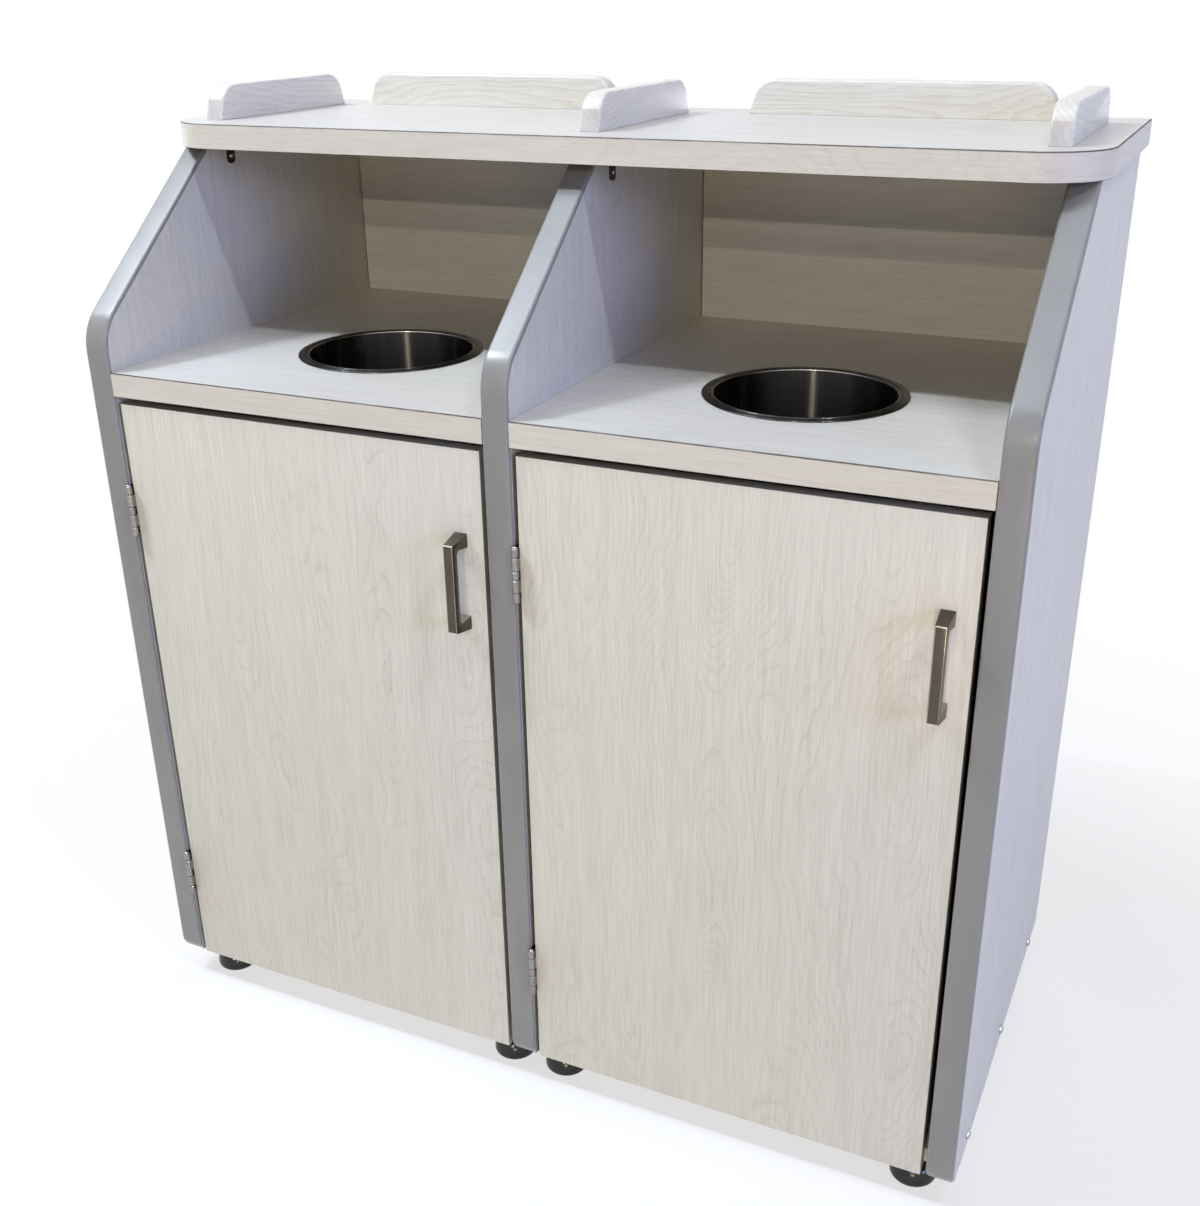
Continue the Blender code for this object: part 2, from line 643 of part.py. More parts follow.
def knuckle_clearance(cleared):
    """Cylinders that clear the other leaf's knuckles."""
    bm = bmesh.new()
    pitch = HINGE_LENGTH / KNUCKLES
    for i in cleared:
        low = i * pitch - HINGE_LENGTH / 2 - KNUCKLE_GAP / 2
        high = low + pitch + KNUCKLE_GAP
        low -= BARREL_RADIUS if i == 0 else 0
        high += BARREL_RADIUS if i == KNUCKLES - 1 else 0
        add_cylinder(
            bm, (0, 0, (low + high) / 2), BARREL_RADIUS + FIT_GAP, high - low, "Z", 2 * HINGE_SEGMENTS)
    return bm


def leaf_mesh(name, side, cleared, finish):
    """A hinge leaf that keeps only its own knuckles."""
    blank = bpy.data.objects.new(name, to_mesh(name, leaf_blank(side), finish))
    bpy.context.scene.collection.objects.link(blank)
    tool = cutter("cutter_" + name, knuckle_clearance(cleared), (0, 0, 0))
    cut(blank, tool)
    view = bpy.context.evaluated_depsgraph_get()
    mesh = bpy.data.meshes.new_from_object(blank.evaluated_get(view))
    bpy.data.objects.remove(blank)
    bpy.data.objects.remove(tool)
    mesh.shade_smooth()
    mesh.set_sharp_from_angle(angle=SMOOTH_ANGLE)
    return mesh


def pin_mesh(finish):
    """A hinge pin with a small head at each end."""
    seat = HINGE_LENGTH / 2 + FIT_GAP
    tip = seat + PIN_HEAD_HEIGHT
    upper = [(PIN_RADIUS, seat), (PIN_HEAD_RADIUS, seat), (PIN_HEAD_RADIUS, (seat + tip) / 2)]
    upper += [(PIN_CROWN_RADIUS, tip), (0, tip)]
    lower = [(r, -z) for r, z in reversed(upper)]
    return to_mesh("hinge_pin", turned(lower + upper, HINGE_SEGMENTS), finish, True)


def build_hinges(axes, cabinet, finishes):
    """Two butt hinges for each door."""
    frame = leaf_mesh("hinge_frame_leaf", -1, range(1, KNUCKLES, 2), finishes["zinc"])
    door = leaf_mesh("hinge_door_leaf", 1, range(0, KNUCKLES, 2), finishes["zinc"])
    pin = pin_mesh(finishes["zinc"])
    for bay, axis in axes.items():
        for level, z in HINGE_Z.items():
            at = (axis.location.x, axis.location.y, z)
            name = bay + "_" + level + "_hinge_"
            place(name + "frame_leaf", frame, at, cabinet)
            place(name + "door_leaf", door, at, axis)
            place(name + "pin", pin, at, cabinet)


def foot_profile():
    """Half-section of a domed glide and its stem: (radius, height) points."""
    points = [(0, 0)] + arc((FOOT_RADIUS - FOOT_EDGE, FOOT_EDGE), FOOT_EDGE, -math.pi / 2, 0, 2)
    for i in range(1, DOME_STEPS + 1):
        turn = math.pi / 2 * i / DOME_STEPS
        radius = FOOT_NECK_RADIUS + (FOOT_RADIUS - FOOT_NECK_RADIUS) * math.cos(turn)
        points.append((radius, FOOT_EDGE + (FOOT_DOME_HEIGHT - FOOT_EDGE) * math.sin(turn)))
    stem_top = BOTTOM_Z + STEM_ENGAGEMENT
    return points + [(STEM_RADIUS, FOOT_DOME_HEIGHT), (STEM_RADIUS, stem_top), (0, stem_top)]


def build_feet(finishes, parent):
    """Four glides under each bay."""
    mesh = to_mesh("foot", turned(foot_profile(), FOOT_SEGMENTS), finishes["black_plastic"], True)
    for bay in BAY_X:
        for corner, (x, y) in foot_places(bay).items():
            place(bay + "_" + corner + "_foot", mesh, (x, y, 0), parent)


def bolt_mesh(finish):
    """A pan-head bolt along X, its head towards +X and its seat at the origin."""
    head = BOLT_HEAD_RADIUS
    rise = BOLT_HEAD_HEIGHT
    length = PANEL_THICKNESS + FIT_GAP + BOLT_GRIP
    profile = [(0, -length), (BOLT_SHANK_RADIUS, -length), (BOLT_SHANK_RADIUS, 0), (head, 0)]
    profile += [(0.96 * head, 0.45 * rise), (0.75 * head, 0.85 * rise), (0.4 * head, rise), (0, rise)]
    bm = turned(profile, BOLT_SEGMENTS)
    bmesh.ops.rotate(bm, verts=bm.verts, cent=(0, 0, 0), matrix=Matrix.Rotation(math.pi / 2, 3, "Y"))
    return to_mesh("side_bolt", bm, finish, True)


def build_bolts(finishes, parent):
    """Bolts through each side panel into its bottom panel."""
    mesh = bolt_mesh(finishes["zinc"])
    seat = CABINET_WIDTH / 2 + FIT_GAP
    for side, x, turn in (("left", -seat, math.pi), ("right", seat, 0)):
        for place_name, depth in zip(("front", "middle", "rear"), bolt_depths()):
            bolt = place(side + "_" + place_name + "_bolt", mesh, (x, FRONT_Y + depth, BOLT_Z), parent)
            bolt.rotation_euler.z = turn


def bracket_mesh(finish):
    """An angle bracket: one leg down a panel at x = 0, one leg under the top, rounded ends."""
    leg = BRACKET_LEG
    thick = BRACKET_THICKNESS
    half = BRACKET_WIDTH / 2
    outline = [(0, 0), (leg, 0), (leg, -thick), (thick, -thick), (thick, -leg), (0, -leg)]
    bm = prism([(x, -half, z) for x, z in outline], (0, BRACKET_WIDTH, 0))
    ends = [e for e in bm.edges if is_bracket_end(e)]
    bmesh.ops.bevel(
        bm, geom=ends, offset=BRACKET_END_RADIUS, segments=3, profile=0.5, affect="EDGES", material=-1)
    return to_mesh("top_bracket", bm, finish)


def is_bracket_end(edge):
    """True for the four short edges at the tips of a bracket's legs."""
    a, b = (v.co for v in edge.verts)
    at_tip = min(a.x, b.x) > BRACKET_LEG - FIT_GAP or max(a.z, b.z) < FIT_GAP - BRACKET_LEG
    return at_tip and abs(a.y - b.y) < FIT_GAP


def build_brackets(finishes, parent):
    """Brackets that tie the top to the faces of the panels in each bay."""
    mesh = bracket_mesh(finishes["dark_steel"])
    reach = BAY_WIDTH / 2 - FIT_GAP
    for bay, middle in BAY_X.items():
        for x, turn in ((-reach, 0), (reach, math.pi)):
            depth = "outer" if x * middle > 0 else "inner"
            at = (middle + x, FRONT_Y + BRACKET_SETBACK, TOP_UNDER_Z - FIT_GAP)
            bracket = place(bay + "_" + depth + "_top_bracket", mesh, at, parent)
            bracket.rotation_euler.z = turn


def bin_mesh(finish):
    """A tapered bin with rounded corners and a turned-out rim, standing on its origin."""
    rim_x = BAY_WIDTH / 2 - BIN_SIDE_CLEARANCE
    rim_y = (BACK_FACE_Y - DOOR_BACK_Y) / 2 - BIN_DEPTH_CLEARANCE
    height = DECK_TOP_Z - CHUTE_DEPTH - BIN_TOP_CLEARANCE - BOTTOM_TOP_Z
    neck = BIN_RIM_WIDTH
    foot = BIN_RIM_WIDTH + BIN_TAPER
    levels = (
        (foot, 0), (neck, height - BIN_RIM_HEIGHT), (0, height - BIN_RIM_HEIGHT), (0, height),
        (neck + BIN_WALL, height), (foot + BIN_WALL, BIN_WALL))
    rings = []
    for inset, z in levels:
        ring = rounded_rectangle(rim_x - inset, rim_y - inset, BIN_CORNER_RADIUS)
        rings.append([(x, y, z) for x, y in ring])
    bm = loft(rings)
    return to_mesh("waste_bin", bm, finish, True)


def build_bins(finishes, parent):
    """A bin under each chute."""
    mesh = bin_mesh(finishes["grey_plastic"])
    for bay, x in BAY_X.items():
        at = (x, (BACK_FACE_Y + DOOR_BACK_Y) / 2, BOTTOM_TOP_Z + FIT_GAP)
        place(bay + "_waste_bin", mesh, at, parent)


def make_finishes():
    """The finishes of the pieces."""
    return {
        "laminate": material("whitewashed_laminate", (0.66, 0.63, 0.57), 0.45),
        "solid_wood": material("whitewashed_solid_wood", (0.70, 0.67, 0.61), 0.5),
        "moulding": material("grey_pvc_moulding", (0.24, 0.24, 0.24), 0.45),
        "stainless": material("stainless_steel", (0.55, 0.55, 0.55), 0.25, 1.0),
        "zinc": material("bright_zinc", (0.72, 0.72, 0.72), 0.3, 1.0),
        "nickel": material("satin_nickel", (0.42, 0.39, 0.36), 0.35, 1.0),
        "dark_steel": material("dark_steel", (0.08, 0.08, 0.08), 0.5, 1.0),
        "black_plastic": material("black_plastic", (0.01, 0.01, 0.01), 0.2),
        "grey_plastic": material("grey_bin_plastic", (0.06, 0.06, 0.065), 0.5),
    }


def build_receptacle():
    """Builds the carcass first, then the top, then all that hangs on them."""
    clear_scene()
    finishes = make_finishes()
    cabinet = empty("cabinet")
    axes = {}
    for bay in BAY_X:
        hinge_x = BAY_X[bay] - BAY_WIDTH / 2 + DOOR_SIDE_GAP / 2
        axes[bay] = empty(bay + "_door_axis", (hinge_x, HINGE_Y, DOOR_LOW_Z))
    for side in PANEL_X:
        build_panel(side, finishes, cabinet)
    build_top(finishes, cabinet)
    build_guides(finishes, cabinet)
    build_chutes(finishes, cabinet)
    handle = handle_mesh(finishes["nickel"])
    for bay, axis in axes.items():
        build_bay_boards(bay, finishes, cabinet)
        build_catch(bay, finishes, cabinet)
        build_door(bay, axis, handle, finishes)
    build_hinges(axes, cabinet, finishes)
    build_feet(finishes, cabinet)
    build_bolts(finishes, cabinet)
    build_brackets(finishes, cabinet)
    build_bins(finishes, cabinet)


build_receptacle()
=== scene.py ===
"""Looks of the double waste receptacle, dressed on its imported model.

Metres, +Z up, front towards -Y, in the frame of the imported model. Each piece that is made
here takes its place from the box of the node that it stands for.
"""

import json
import logging
import math
from dataclasses import dataclass
from enum import Enum
from typing import Any, Callable, Iterable, Optional, Sequence

import bmesh
import bpy
from bmesh.types import BMEdge, BMesh, BMFace, BMVert
from mathutils import Matrix, Vector

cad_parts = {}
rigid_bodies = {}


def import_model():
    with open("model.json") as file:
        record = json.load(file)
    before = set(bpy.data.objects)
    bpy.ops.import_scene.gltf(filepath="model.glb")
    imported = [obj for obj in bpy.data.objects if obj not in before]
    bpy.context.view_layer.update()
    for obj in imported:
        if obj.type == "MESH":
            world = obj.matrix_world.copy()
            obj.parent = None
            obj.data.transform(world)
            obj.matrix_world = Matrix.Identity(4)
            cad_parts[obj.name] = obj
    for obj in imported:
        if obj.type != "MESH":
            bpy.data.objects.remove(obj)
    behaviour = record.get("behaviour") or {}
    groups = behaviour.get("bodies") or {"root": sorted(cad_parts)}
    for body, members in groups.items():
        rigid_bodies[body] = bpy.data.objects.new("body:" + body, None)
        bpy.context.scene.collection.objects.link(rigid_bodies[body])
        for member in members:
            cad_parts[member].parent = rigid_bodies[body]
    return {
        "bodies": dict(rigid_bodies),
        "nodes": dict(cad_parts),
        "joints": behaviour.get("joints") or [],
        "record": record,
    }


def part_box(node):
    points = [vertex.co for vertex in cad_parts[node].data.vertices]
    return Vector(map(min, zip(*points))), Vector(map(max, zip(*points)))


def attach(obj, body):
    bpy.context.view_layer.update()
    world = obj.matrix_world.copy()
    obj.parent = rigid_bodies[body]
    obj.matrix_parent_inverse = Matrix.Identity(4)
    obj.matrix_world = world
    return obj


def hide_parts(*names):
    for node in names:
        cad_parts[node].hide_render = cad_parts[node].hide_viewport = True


LOG = logging.getLogger("receptacle")

CABINET = "cabinet"
NEAR = 0.0002                     # closer than this counts as in one plane
SMOOTH_ANGLE = math.radians(32)   # edges that turn more than this stay crisp
MOSTLY, SQUARELY = 0.5, 0.9       # shares of a normal along the axis that a face looks along
MIX_FACTOR, MIX_A, MIX_B = 0, 6, 7  # sockets of a colour mix
# A screw head's profile and recess, in shares of its radius and height
SCREW_DOME = ((1.0, -0.5), (1.0, 0.25), (0.86, 0.66), (0.55, 0.94), (0.0, 1.0))
SCREW_RECESS = (0.5, 0.45)
SCREW_STEPS = 24

Point = Sequence[float]
Tree = bpy.types.NodeTree
Node = bpy.types.Node


class Bay(Enum):
    """The two bays, as seen from the front."""

    LEFT = "left"
    RIGHT = "right"


class Upright(Enum):
    """The three upright panels."""

    LEFT = "left"
    CENTRE = "centre"
    RIGHT = "right"


class Level(Enum):
    """The two hinges of a door."""

    LOWER = "lower"
    UPPER = "upper"


class Along(Enum):
    """The way the grain runs; the value puts that axis third."""

    X = (1, 2, 0)
    Y = (2, 0, 1)
    Z = (0, 1, 2)


class Facing(Enum):
    """The way a screw head faces, as the turn that brings it there from facing up."""

    LEFT = (-math.pi / 2, "Y")
    RIGHT = (math.pi / 2, "Y")
    BACK = (-math.pi / 2, "X")
    DOWN = (math.pi, "X")


class Source(Enum):
    """What a pattern is laid out on."""

    SOLID = "Object"
    BAND = "UV"


def linear(colour: str) -> tuple[float, float, float, float]:
    """Turns an sRGB hex value into linear light.

    Args:
        colour: Six hex digits after a hash sign.

    Returns:
        Red, green, blue and an alpha of 1.
    """
    parts = [int(colour[i:i + 2], 16) / 255 for i in (1, 3, 5)]
    light = [p / 12.92 if p <= 0.04045 else ((p + 0.055) / 1.055) ** 2.4 for p in parts]
    return (*light, 1.0)


def add_node(
        tree: Tree, kind: str, settings: Optional[dict[str, Any]] = None,
        inputs: Optional[dict[Any, Any]] = None) -> Node:
    """Adds a shader node with its settings and links.

    Args:
        tree: The node tree that takes it.
        kind: The node's type without its prefix.
        settings: Attributes of the node.
        inputs: Socket names or numbers, each with a value, a socket or a node to link.

    Returns:
        The new node.
    """
    node = tree.nodes.new("ShaderNode" + kind)
    for key, value in (settings or {}).items():
        setattr(node, key, value)
    for key, value in (inputs or {}).items():
        if isinstance(value, Node):
            value = next(s for s in value.outputs if s.enabled)
        if isinstance(value, bpy.types.NodeSocket):
            tree.links.new(value, node.inputs[key])
        else:
            node.inputs[key].default_value = value
    return node


def surface(
        tree: Tree, inputs: dict[str, Any], rough: Optional[tuple[Node, float, float]] = None,
        bump: Optional[tuple[Node, float, float]] = None) -> None:
    """Ends a material with a principled shader.

    Args:
        tree: The material's node tree.
        inputs: The shader's sockets with their values or links.
        rough: What roughness follows, from 0 to 1, and the roughness at both ends.
        bump: The height that the surface follows, with its strength and depth in metres.
    """
    look = dict(inputs)
    if rough:
        value, least, most = rough
        look["Roughness"] = add_node(
            tree, "MapRange", inputs={"Value": value, "To Min": least, "To Max": most})
    if bump:
        height, strength, depth = bump
        look["Normal"] = add_node(
            tree, "Bump", inputs={"Height": height, "Strength": strength, "Distance": depth})
    shader = add_node(tree, "BsdfPrincipled", inputs=look)
    add_node(tree, "OutputMaterial", inputs={"Surface": shader})


def grain_space(
        tree: Tree, along: Along, seed: float,
        source: Source = Source.SOLID) -> Node:
    """Coordinates in metres, turned so that the third one runs along the grain.

    Args:
        tree: The material's node tree.
        along: The way the grain runs.
        seed: Moves the pattern, so that no two boards are cut from one sheet.
        source: What the pattern is laid out on.

    Returns:
        The node that gives the coordinates.
    """
    place = add_node(tree, "TexCoord").outputs[source.value]
    parts = add_node(tree, "SeparateXYZ", inputs={0: place})
    turned = add_node(
        tree, "CombineXYZ", inputs={i: parts.outputs[o] for i, o in enumerate(along.value)})
    return add_node(
        tree, "VectorMath", {"operation": "ADD"}, {0: turned, 1: (seed, 1.7 * seed, 2.3 * seed)})


def drawn_noise(
        tree: Tree, space: Node, width: float, length: float,
        detail: float = 2.0, low: float = 0.35, high: float = 0.65) -> Node:
    """Noise drawn out along the third axis and spread over 0 to 1.

    Args:
        tree: The material's node tree.
        space: The coordinates it lies in.
        width: Size of its features across the grain, in millimetres.
        length: Size of its features along the grain, in millimetres.
        detail: Octaves of finer noise.
        low: The raw value that becomes 0.
        high: The raw value that becomes 1.

    Returns:
        The node that gives the value.
    """
    scale = (1000 / width, 1000 / width, 1000 / length)
    drawn = add_node(tree, "VectorMath", {"operation": "MULTIPLY"}, {0: space, 1: scale})
    noise = add_node(tree, "TexNoise", inputs={"Vector": drawn, "Scale": 1.0, "Detail": detail})
    return add_node(
        tree, "MapRange", {"interpolation_type": "SMOOTHSTEP"},
        {"Value": noise, "From Min": low, "From Max": high})


def total(tree: Tree, terms: Iterable[tuple[Any, float]]) -> Any:
    """Adds up values, each with its weight.

    Args:
        tree: The material's node tree.
        terms: Nodes or sockets with the weight of each.

    Returns:
        The node that gives the sum.
    """
    result: Any = 0.0
    for value, weight in terms:
        result = add_node(
            tree, "Math", {"operation": "MULTIPLY_ADD"}, {0: value, 1: weight, 2: result})
    return result


def layered(tree: Tree, ground: str, coats: Iterable[tuple[Node, str]]) -> Any:
    """Lays colours over a ground, one after another.

    Args:
        tree: The material's node tree.
        ground: The lowest colour.
        coats: How much of each coat shows, from 0 to 1, with its colour.

    Returns:
        The node that gives the colour.
    """
    colour: Any = linear(ground)
    for share, coat in coats:
        colour = add_node(
            tree, "Mix", {"data_type": "RGBA"},
            {MIX_FACTOR: share, MIX_A: colour, MIX_B: linear(coat)})
    return colour


def growth_lines(
        tree: Tree, space: Node, pitch: float, column: float,
        depth: tuple[float, float], run: float, edge: float,
        wave: tuple[float, float, float] = (1.1, 26, 70)) -> Node:
    """Growth rings as plain-sawn boards show them: columns of arches between straight lines.

    Args:
        tree: The material's node tree.
        space: The coordinates they lie in.
        pitch: Distance between rings, in millimetres.
        column: Half the distance between two columns of arches, in millimetres.
        depth: Least and greatest depth of the pith below the face, in millimetres.
        run: Length along the grain over which that depth changes, in millimetres.
        edge: How narrow the late wood is.
        wave: How many rings the lines waver by, and the width and length of a waver.

    Returns:
        The node that gives how dark a line is, 0 to 1.
    """
    parts = add_node(tree, "SeparateXYZ", inputs={0: space})
    wander = drawn_noise(tree, space, 240, 650, 1.0, 0.0, 1.0)
    across = total(tree, ((parts.outputs[0], 1.0), (parts.outputs[1], 1.0), (wander, 0.16)))
    folded = add_node(tree, "Math", {"operation": "PINGPONG"}, {0: across, 1: column / 1000})
    pith = drawn_noise(tree, space, 0.4 * run, run, 1.6, 0.25, 0.75)
    below = total(tree, ((1.0, depth[0] / 1000), (pith, (depth[1] - depth[0]) / 1000)))
    offset = add_node(tree, "CombineXYZ", inputs={0: folded, 1: below})
    reach = add_node(tree, "VectorMath", {"operation": "LENGTH"}, {0: offset})
    waves = drawn_noise(tree, space, wave[1], wave[2], 2.0, 0.0, 1.0)
    ragged = drawn_noise(tree, space, 4, 30, 1.0, 0.0, 1.0)
    phase = total(tree, ((reach, 1000 / pitch), (waves, wave[0]), (ragged, 0.32)))
    part = add_node(tree, "Math", {"operation": "FRACT"}, {0: phase})
    return add_node(tree, "Math", {"operation": "POWER"}, {0: part, 1: edge})


@dataclass(frozen=True)
class Finish:
    """A finish that becomes a material on its first use and is shared after that."""

    name: str

    def paint(self, tree: Tree) -> None:
        """Fills the material's tree."""
        raise NotImplementedError

    def material(self) -> bpy.types.Material:
        """Gives the material of this finish.

        Returns:
            The one that exists, or else a new one.
        """
        made = bpy.data.materials.get(self.name)
        if made is None:
            made = bpy.data.materials.new(self.name)
            made.use_nodes = True
            made.node_tree.nodes.clear()
            self.paint(made.node_tree)
        return made


# High-pressure laminate with a printed whitewashed maple under a satin melamine face. The eye
# gets arched growth lines that hardly stand out, faint warm clouds and fine fibres.
@dataclass(frozen=True)
class MapleLaminate(Finish):
    """Whitewashed maple print under a satin melamine face."""

    along: Along = Along.Z
    seed: float = 0.0
    source: Source = Source.SOLID
    pale: str = "#DAD7D0"
    dark: str = "#9F978A"
    arches: float = 0.30
    cloud: str = "#D3C6B8"

    def paint(self, tree: Tree) -> None:
        """Lays growth lines, streaks, fibres and flecks over the pale ground.

        Args:
            tree: The material's node tree.
        """
        space = grain_space(tree, self.along, self.seed, self.source)
        lines = growth_lines(tree, space, 5.4, 86, (6, 110), 520, 7.0)
        patches = drawn_noise(tree, space, 60, 300, 1.0, 0.25, 0.65)
        figure = add_node(tree, "Math", {"operation": "MULTIPLY"}, {0: lines, 1: patches})
        streaks = drawn_noise(tree, space, 14, 420)
        # Real fibres are under a millimetre wide; these are drawn at two to show
        fibres = drawn_noise(tree, space, 2.0, 75, 3.0)
        flecks = drawn_noise(tree, space, 1.8, 13, 1.0, 0.60, 0.74)
        tone = total(
            tree, ((figure, self.arches), (streaks, 0.07), (fibres, 0.18), (flecks, 0.08)))
        clouds = total(tree, ((drawn_noise(tree, space, 210, 330, 1.0), 0.12),))
        colour = layered(tree, self.pale, ((tone, self.dark), (clouds, self.cloud)))
        surface(
            tree, {"Base Color": colour, "IOR": 1.5}, (fibres, 0.32, 0.42), (fibres, 0.10, 0.0004))


# Bare phenolic paper: the core at a sheet's cut edge and the backer under the top. The eye gets
# one thin dark line round each board, worn to the pale print here and there, and a dark underside,
# whose darkness is also painted shade that cuts the light bounced into the bays.
@dataclass(frozen=True)
class LaminateCore(Finish):
    """Brown phenolic paper at a trimmed edge or an unfaced side."""

    brown: str = "#3A332D"
    spot: str = "#554B42"
    faded: str = "#CFC8BC"
    wear: float = 0.18

    def paint(self, tree: Tree) -> None:
        """Breaks the dark brown with worn places.

        Args:
            tree: The material's node tree.
        """
        space = grain_space(tree, Along.X, 0.3)
        spots = drawn_noise(tree, space, 4, 9)
        worn = total(tree, ((drawn_noise(tree, space, 14, 45, 2.0, 0.50, 0.72), self.wear),))
        colour = layered(tree, self.brown, ((spots, self.spot), (worn, self.faded)))
        surface(tree, {"Base Color": colour, "Roughness": 0.6})


# Solid maple, whitewashed and clear-lacquered. The eye gets greyish brown growth lines under a
# milky coat, paler where the stain lies thick, and darker end grain.
@dataclass(frozen=True)
class WashedMaple(Finish):
    """Solid maple under a milky stain and satin lacquer."""

    along: Along = Along.X
    seed: float = 0.0
    pale: str = "#DEDACF"
    line: str = "#AFA090"
    milk: str = "#EDE8E0"

    def paint(self, tree: Tree) -> None:
        """Lays broad growth lines and pores under the milky stain.

        Args:
            tree: The material's node tree.
        """
        space = grain_space(tree, self.along, self.seed)
        lines = growth_lines(tree, space, 6.0, 90, (6, 70), 420, 2.5, (1.6, 22, 150))
        # Fibres and pores are drawn several times as wide as real ones, to show
        fibres = drawn_noise(tree, space, 1.8, 45, 3.0)
        pores = drawn_noise(tree, space, 1.5, 10, 1.0, 0.58, 0.72)
        tone = total(tree, ((lines, 0.30), (fibres, 0.16), (pores, 0.12)))
        thick = total(tree, ((drawn_noise(tree, space, 30, 120, 2.0, 0.40, 0.68), 0.22),))
        colour = layered(tree, self.pale, ((tone, self.line), (thick, self.milk)))
        surface(
            tree, {"Base Color": colour, "Roughness": 0.42, "Coat Weight": 0.25, "Coat Roughness": 0.22},
            bump=(tone, 0.12, 0.0004))


# Extruded grey PVC edging. The eye gets an even mid grey with a soft sheen along the round
# edges, faint streaks and a few scuffs.
@dataclass(frozen=True)
class PvcEdging(Finish):
    """Extruded grey PVC with a soft sheen."""

    grey: str = "#83827F"
    scuff: str = "#9A9997"

    def paint(self, tree: Tree) -> None:
        """Adds scuffs and a fine skin to the grey.

        Args:
            tree: The material's node tree.
        """
        space = grain_space(tree, Along.Z, 0.9)
        clouds = drawn_noise(tree, space, 40, 160)
        scuffs = drawn_noise(tree, space, 5, 22, 3.0, 0.62, 0.80)
        tone = total(tree, ((clouds, 0.22), (scuffs, 0.12)))
        # The skin's real grain is some tenths of a millimetre; this one is drawn coarser to show
        skin = drawn_noise(tree, space, 1.6, 2.4)
        colour = layered(tree, self.grey, ((tone, self.scuff),))
        surface(
            tree, {"Base Color": colour, "IOR": 1.54}, (scuffs, 0.30, 0.38), (skin, 0.06, 0.0003))


class Lay(Enum):
    """How a metal was worked: width and length of its marks, in millimetres.

    Real marks are about a tenth as wide; these are drawn coarser to show.
    """

    SPUN = (2.5, 140.0)
    BRUSHED = (0.9, 45.0)
    TUMBLED = (2.2, 2.2)


# Worked metal. The eye gets reflections that break into fine lines or a soft grain, with
# slightly darker handling marks.
@dataclass(frozen=True)
class WorkedMetal(Finish):
    """Steel, nickel or zinc with the marks of its working."""

    tint: str = "#A8A6A2"
    mark: str = "#8C8A86"
    lay: Lay = Lay.TUMBLED
    rough: tuple[float, float] = (0.22, 0.36)
    spun: float = 0.0

    def paint(self, tree: Tree) -> None:
        """Lets the working marks vary tint, roughness and height.

        Args:
            tree: The material's node tree.
        """
        space = grain_space(tree, Along.Z, 0.5)
        marks = drawn_noise(tree, space, *self.lay.value, 3.0)
        tone = total(tree, ((marks, 0.55), (drawn_noise(tree, space, 16, 24), 0.40)))
        look = {"Base Color": layered(tree, self.tint, ((tone, self.mark),)), "Metallic": 1.0}
        if self.spun:
            # Marks that run round the axis draw each highlight out along it
            round_axis = add_node(tree, "Tangent", {"direction_type": "RADIAL", "axis": "Z"})
            look |= {"Anisotropic": self.spun, "Anisotropic Rotation": 0.25, "Tangent": round_axis}
        surface(tree, look, (tone, *self.rough), (marks, 0.05, 0.0002))


# Injection-moulded plastic. The eye gets a deep even colour, a moulded skin and a little dust.
@dataclass(frozen=True)
class MouldedPlastic(Finish):
    """Moulded plastic with a fine skin and some dust."""

    tint: str = "#101012"
    dust: str = "#3A3A3B"
    rough: tuple[float, float] = (0.16, 0.34)
    skin: float = 2.0

    def paint(self, tree: Tree) -> None:
        """Adds dust and a moulded skin.

        Args:
            tree: The material's node tree.
        """
        space = grain_space(tree, Along.Z, 0.2)
        dusty = drawn_noise(tree, space, 14, 14, 3.0, 0.48, 0.75)
        # The mould's real grain is some tenths of a millimetre; this one is drawn coarser to show
        grains = drawn_noise(tree, space, self.skin, self.skin)
        colour = layered(tree, self.tint, ((total(tree, ((dusty, 0.45),)), self.dust),))
        surface(
            tree, {"Base Color": colour, "IOR": 1.5}, (dusty, *self.rough), (grains, 0.08, 0.0004))


CORE = LaminateCore("phenolic_laminate_core")
EDGING = PvcEdging("grey_pvc_edging")
# The steel's tint is darkened as painted shade, standing in for the dark bay that the rings reflect
STAINLESS = WorkedMetal("spun_stainless_steel", "#525150", "#444342", Lay.SPUN, (0.24, 0.28), 1.0)
# A bright copy of the steel: a painted highlight along each ring's inner lip
STEEL_PAINTED_HIGHLIGHT = WorkedMetal("stainless_painted_highlight", "#B9B6B0", "#A09D97", Lay.SPUN, (0.16, 0.26))
# The nickel's tint is darkened as painted shade, standing in for the dark room that the handles reflect
NICKEL = WorkedMetal("brushed_satin_nickel", "#615A51", "#575047", Lay.BRUSHED, (0.20, 0.28))
# A bright copy of the nickel: painted highlights on the handles' eased edges and upward ledges
NICKEL_PAINTED_HIGHLIGHT = WorkedMetal("nickel_painted_highlight", "#B9B3AA", "#A19B92", Lay.BRUSHED, (0.24, 0.34))
HINGE_STEEL = WorkedMetal("nickel_plated_steel", "#A3A2A1", "#858482", Lay.TUMBLED, (0.16, 0.28))
PIN_STEEL = WorkedMetal("polished_pin_steel", "#C9C7C2", "#AFADA8", Lay.TUMBLED, (0.10, 0.20))
ZINC = WorkedMetal("bright_zinc_plate", "#C6C8CB", "#A2A4A8", Lay.TUMBLED, (0.20, 0.36))
DARK_STEEL = WorkedMetal("oiled_dark_steel", "#4A4641", "#2E2B28", Lay.TUMBLED, (0.34, 0.52))
GLIDE_BLACK = MouldedPlastic("gloss_black_nylon", "#09090A", "#1C1C1D", (0.14, 0.26))
CATCH_BLACK = MouldedPlastic("black_abs", "#17181A", "#2E2F31", (0.34, 0.48), 1.2)
SEAL_GREY = PvcEdging("grey_pvc_seal", "#A9A9A8", "#B8B8B7")
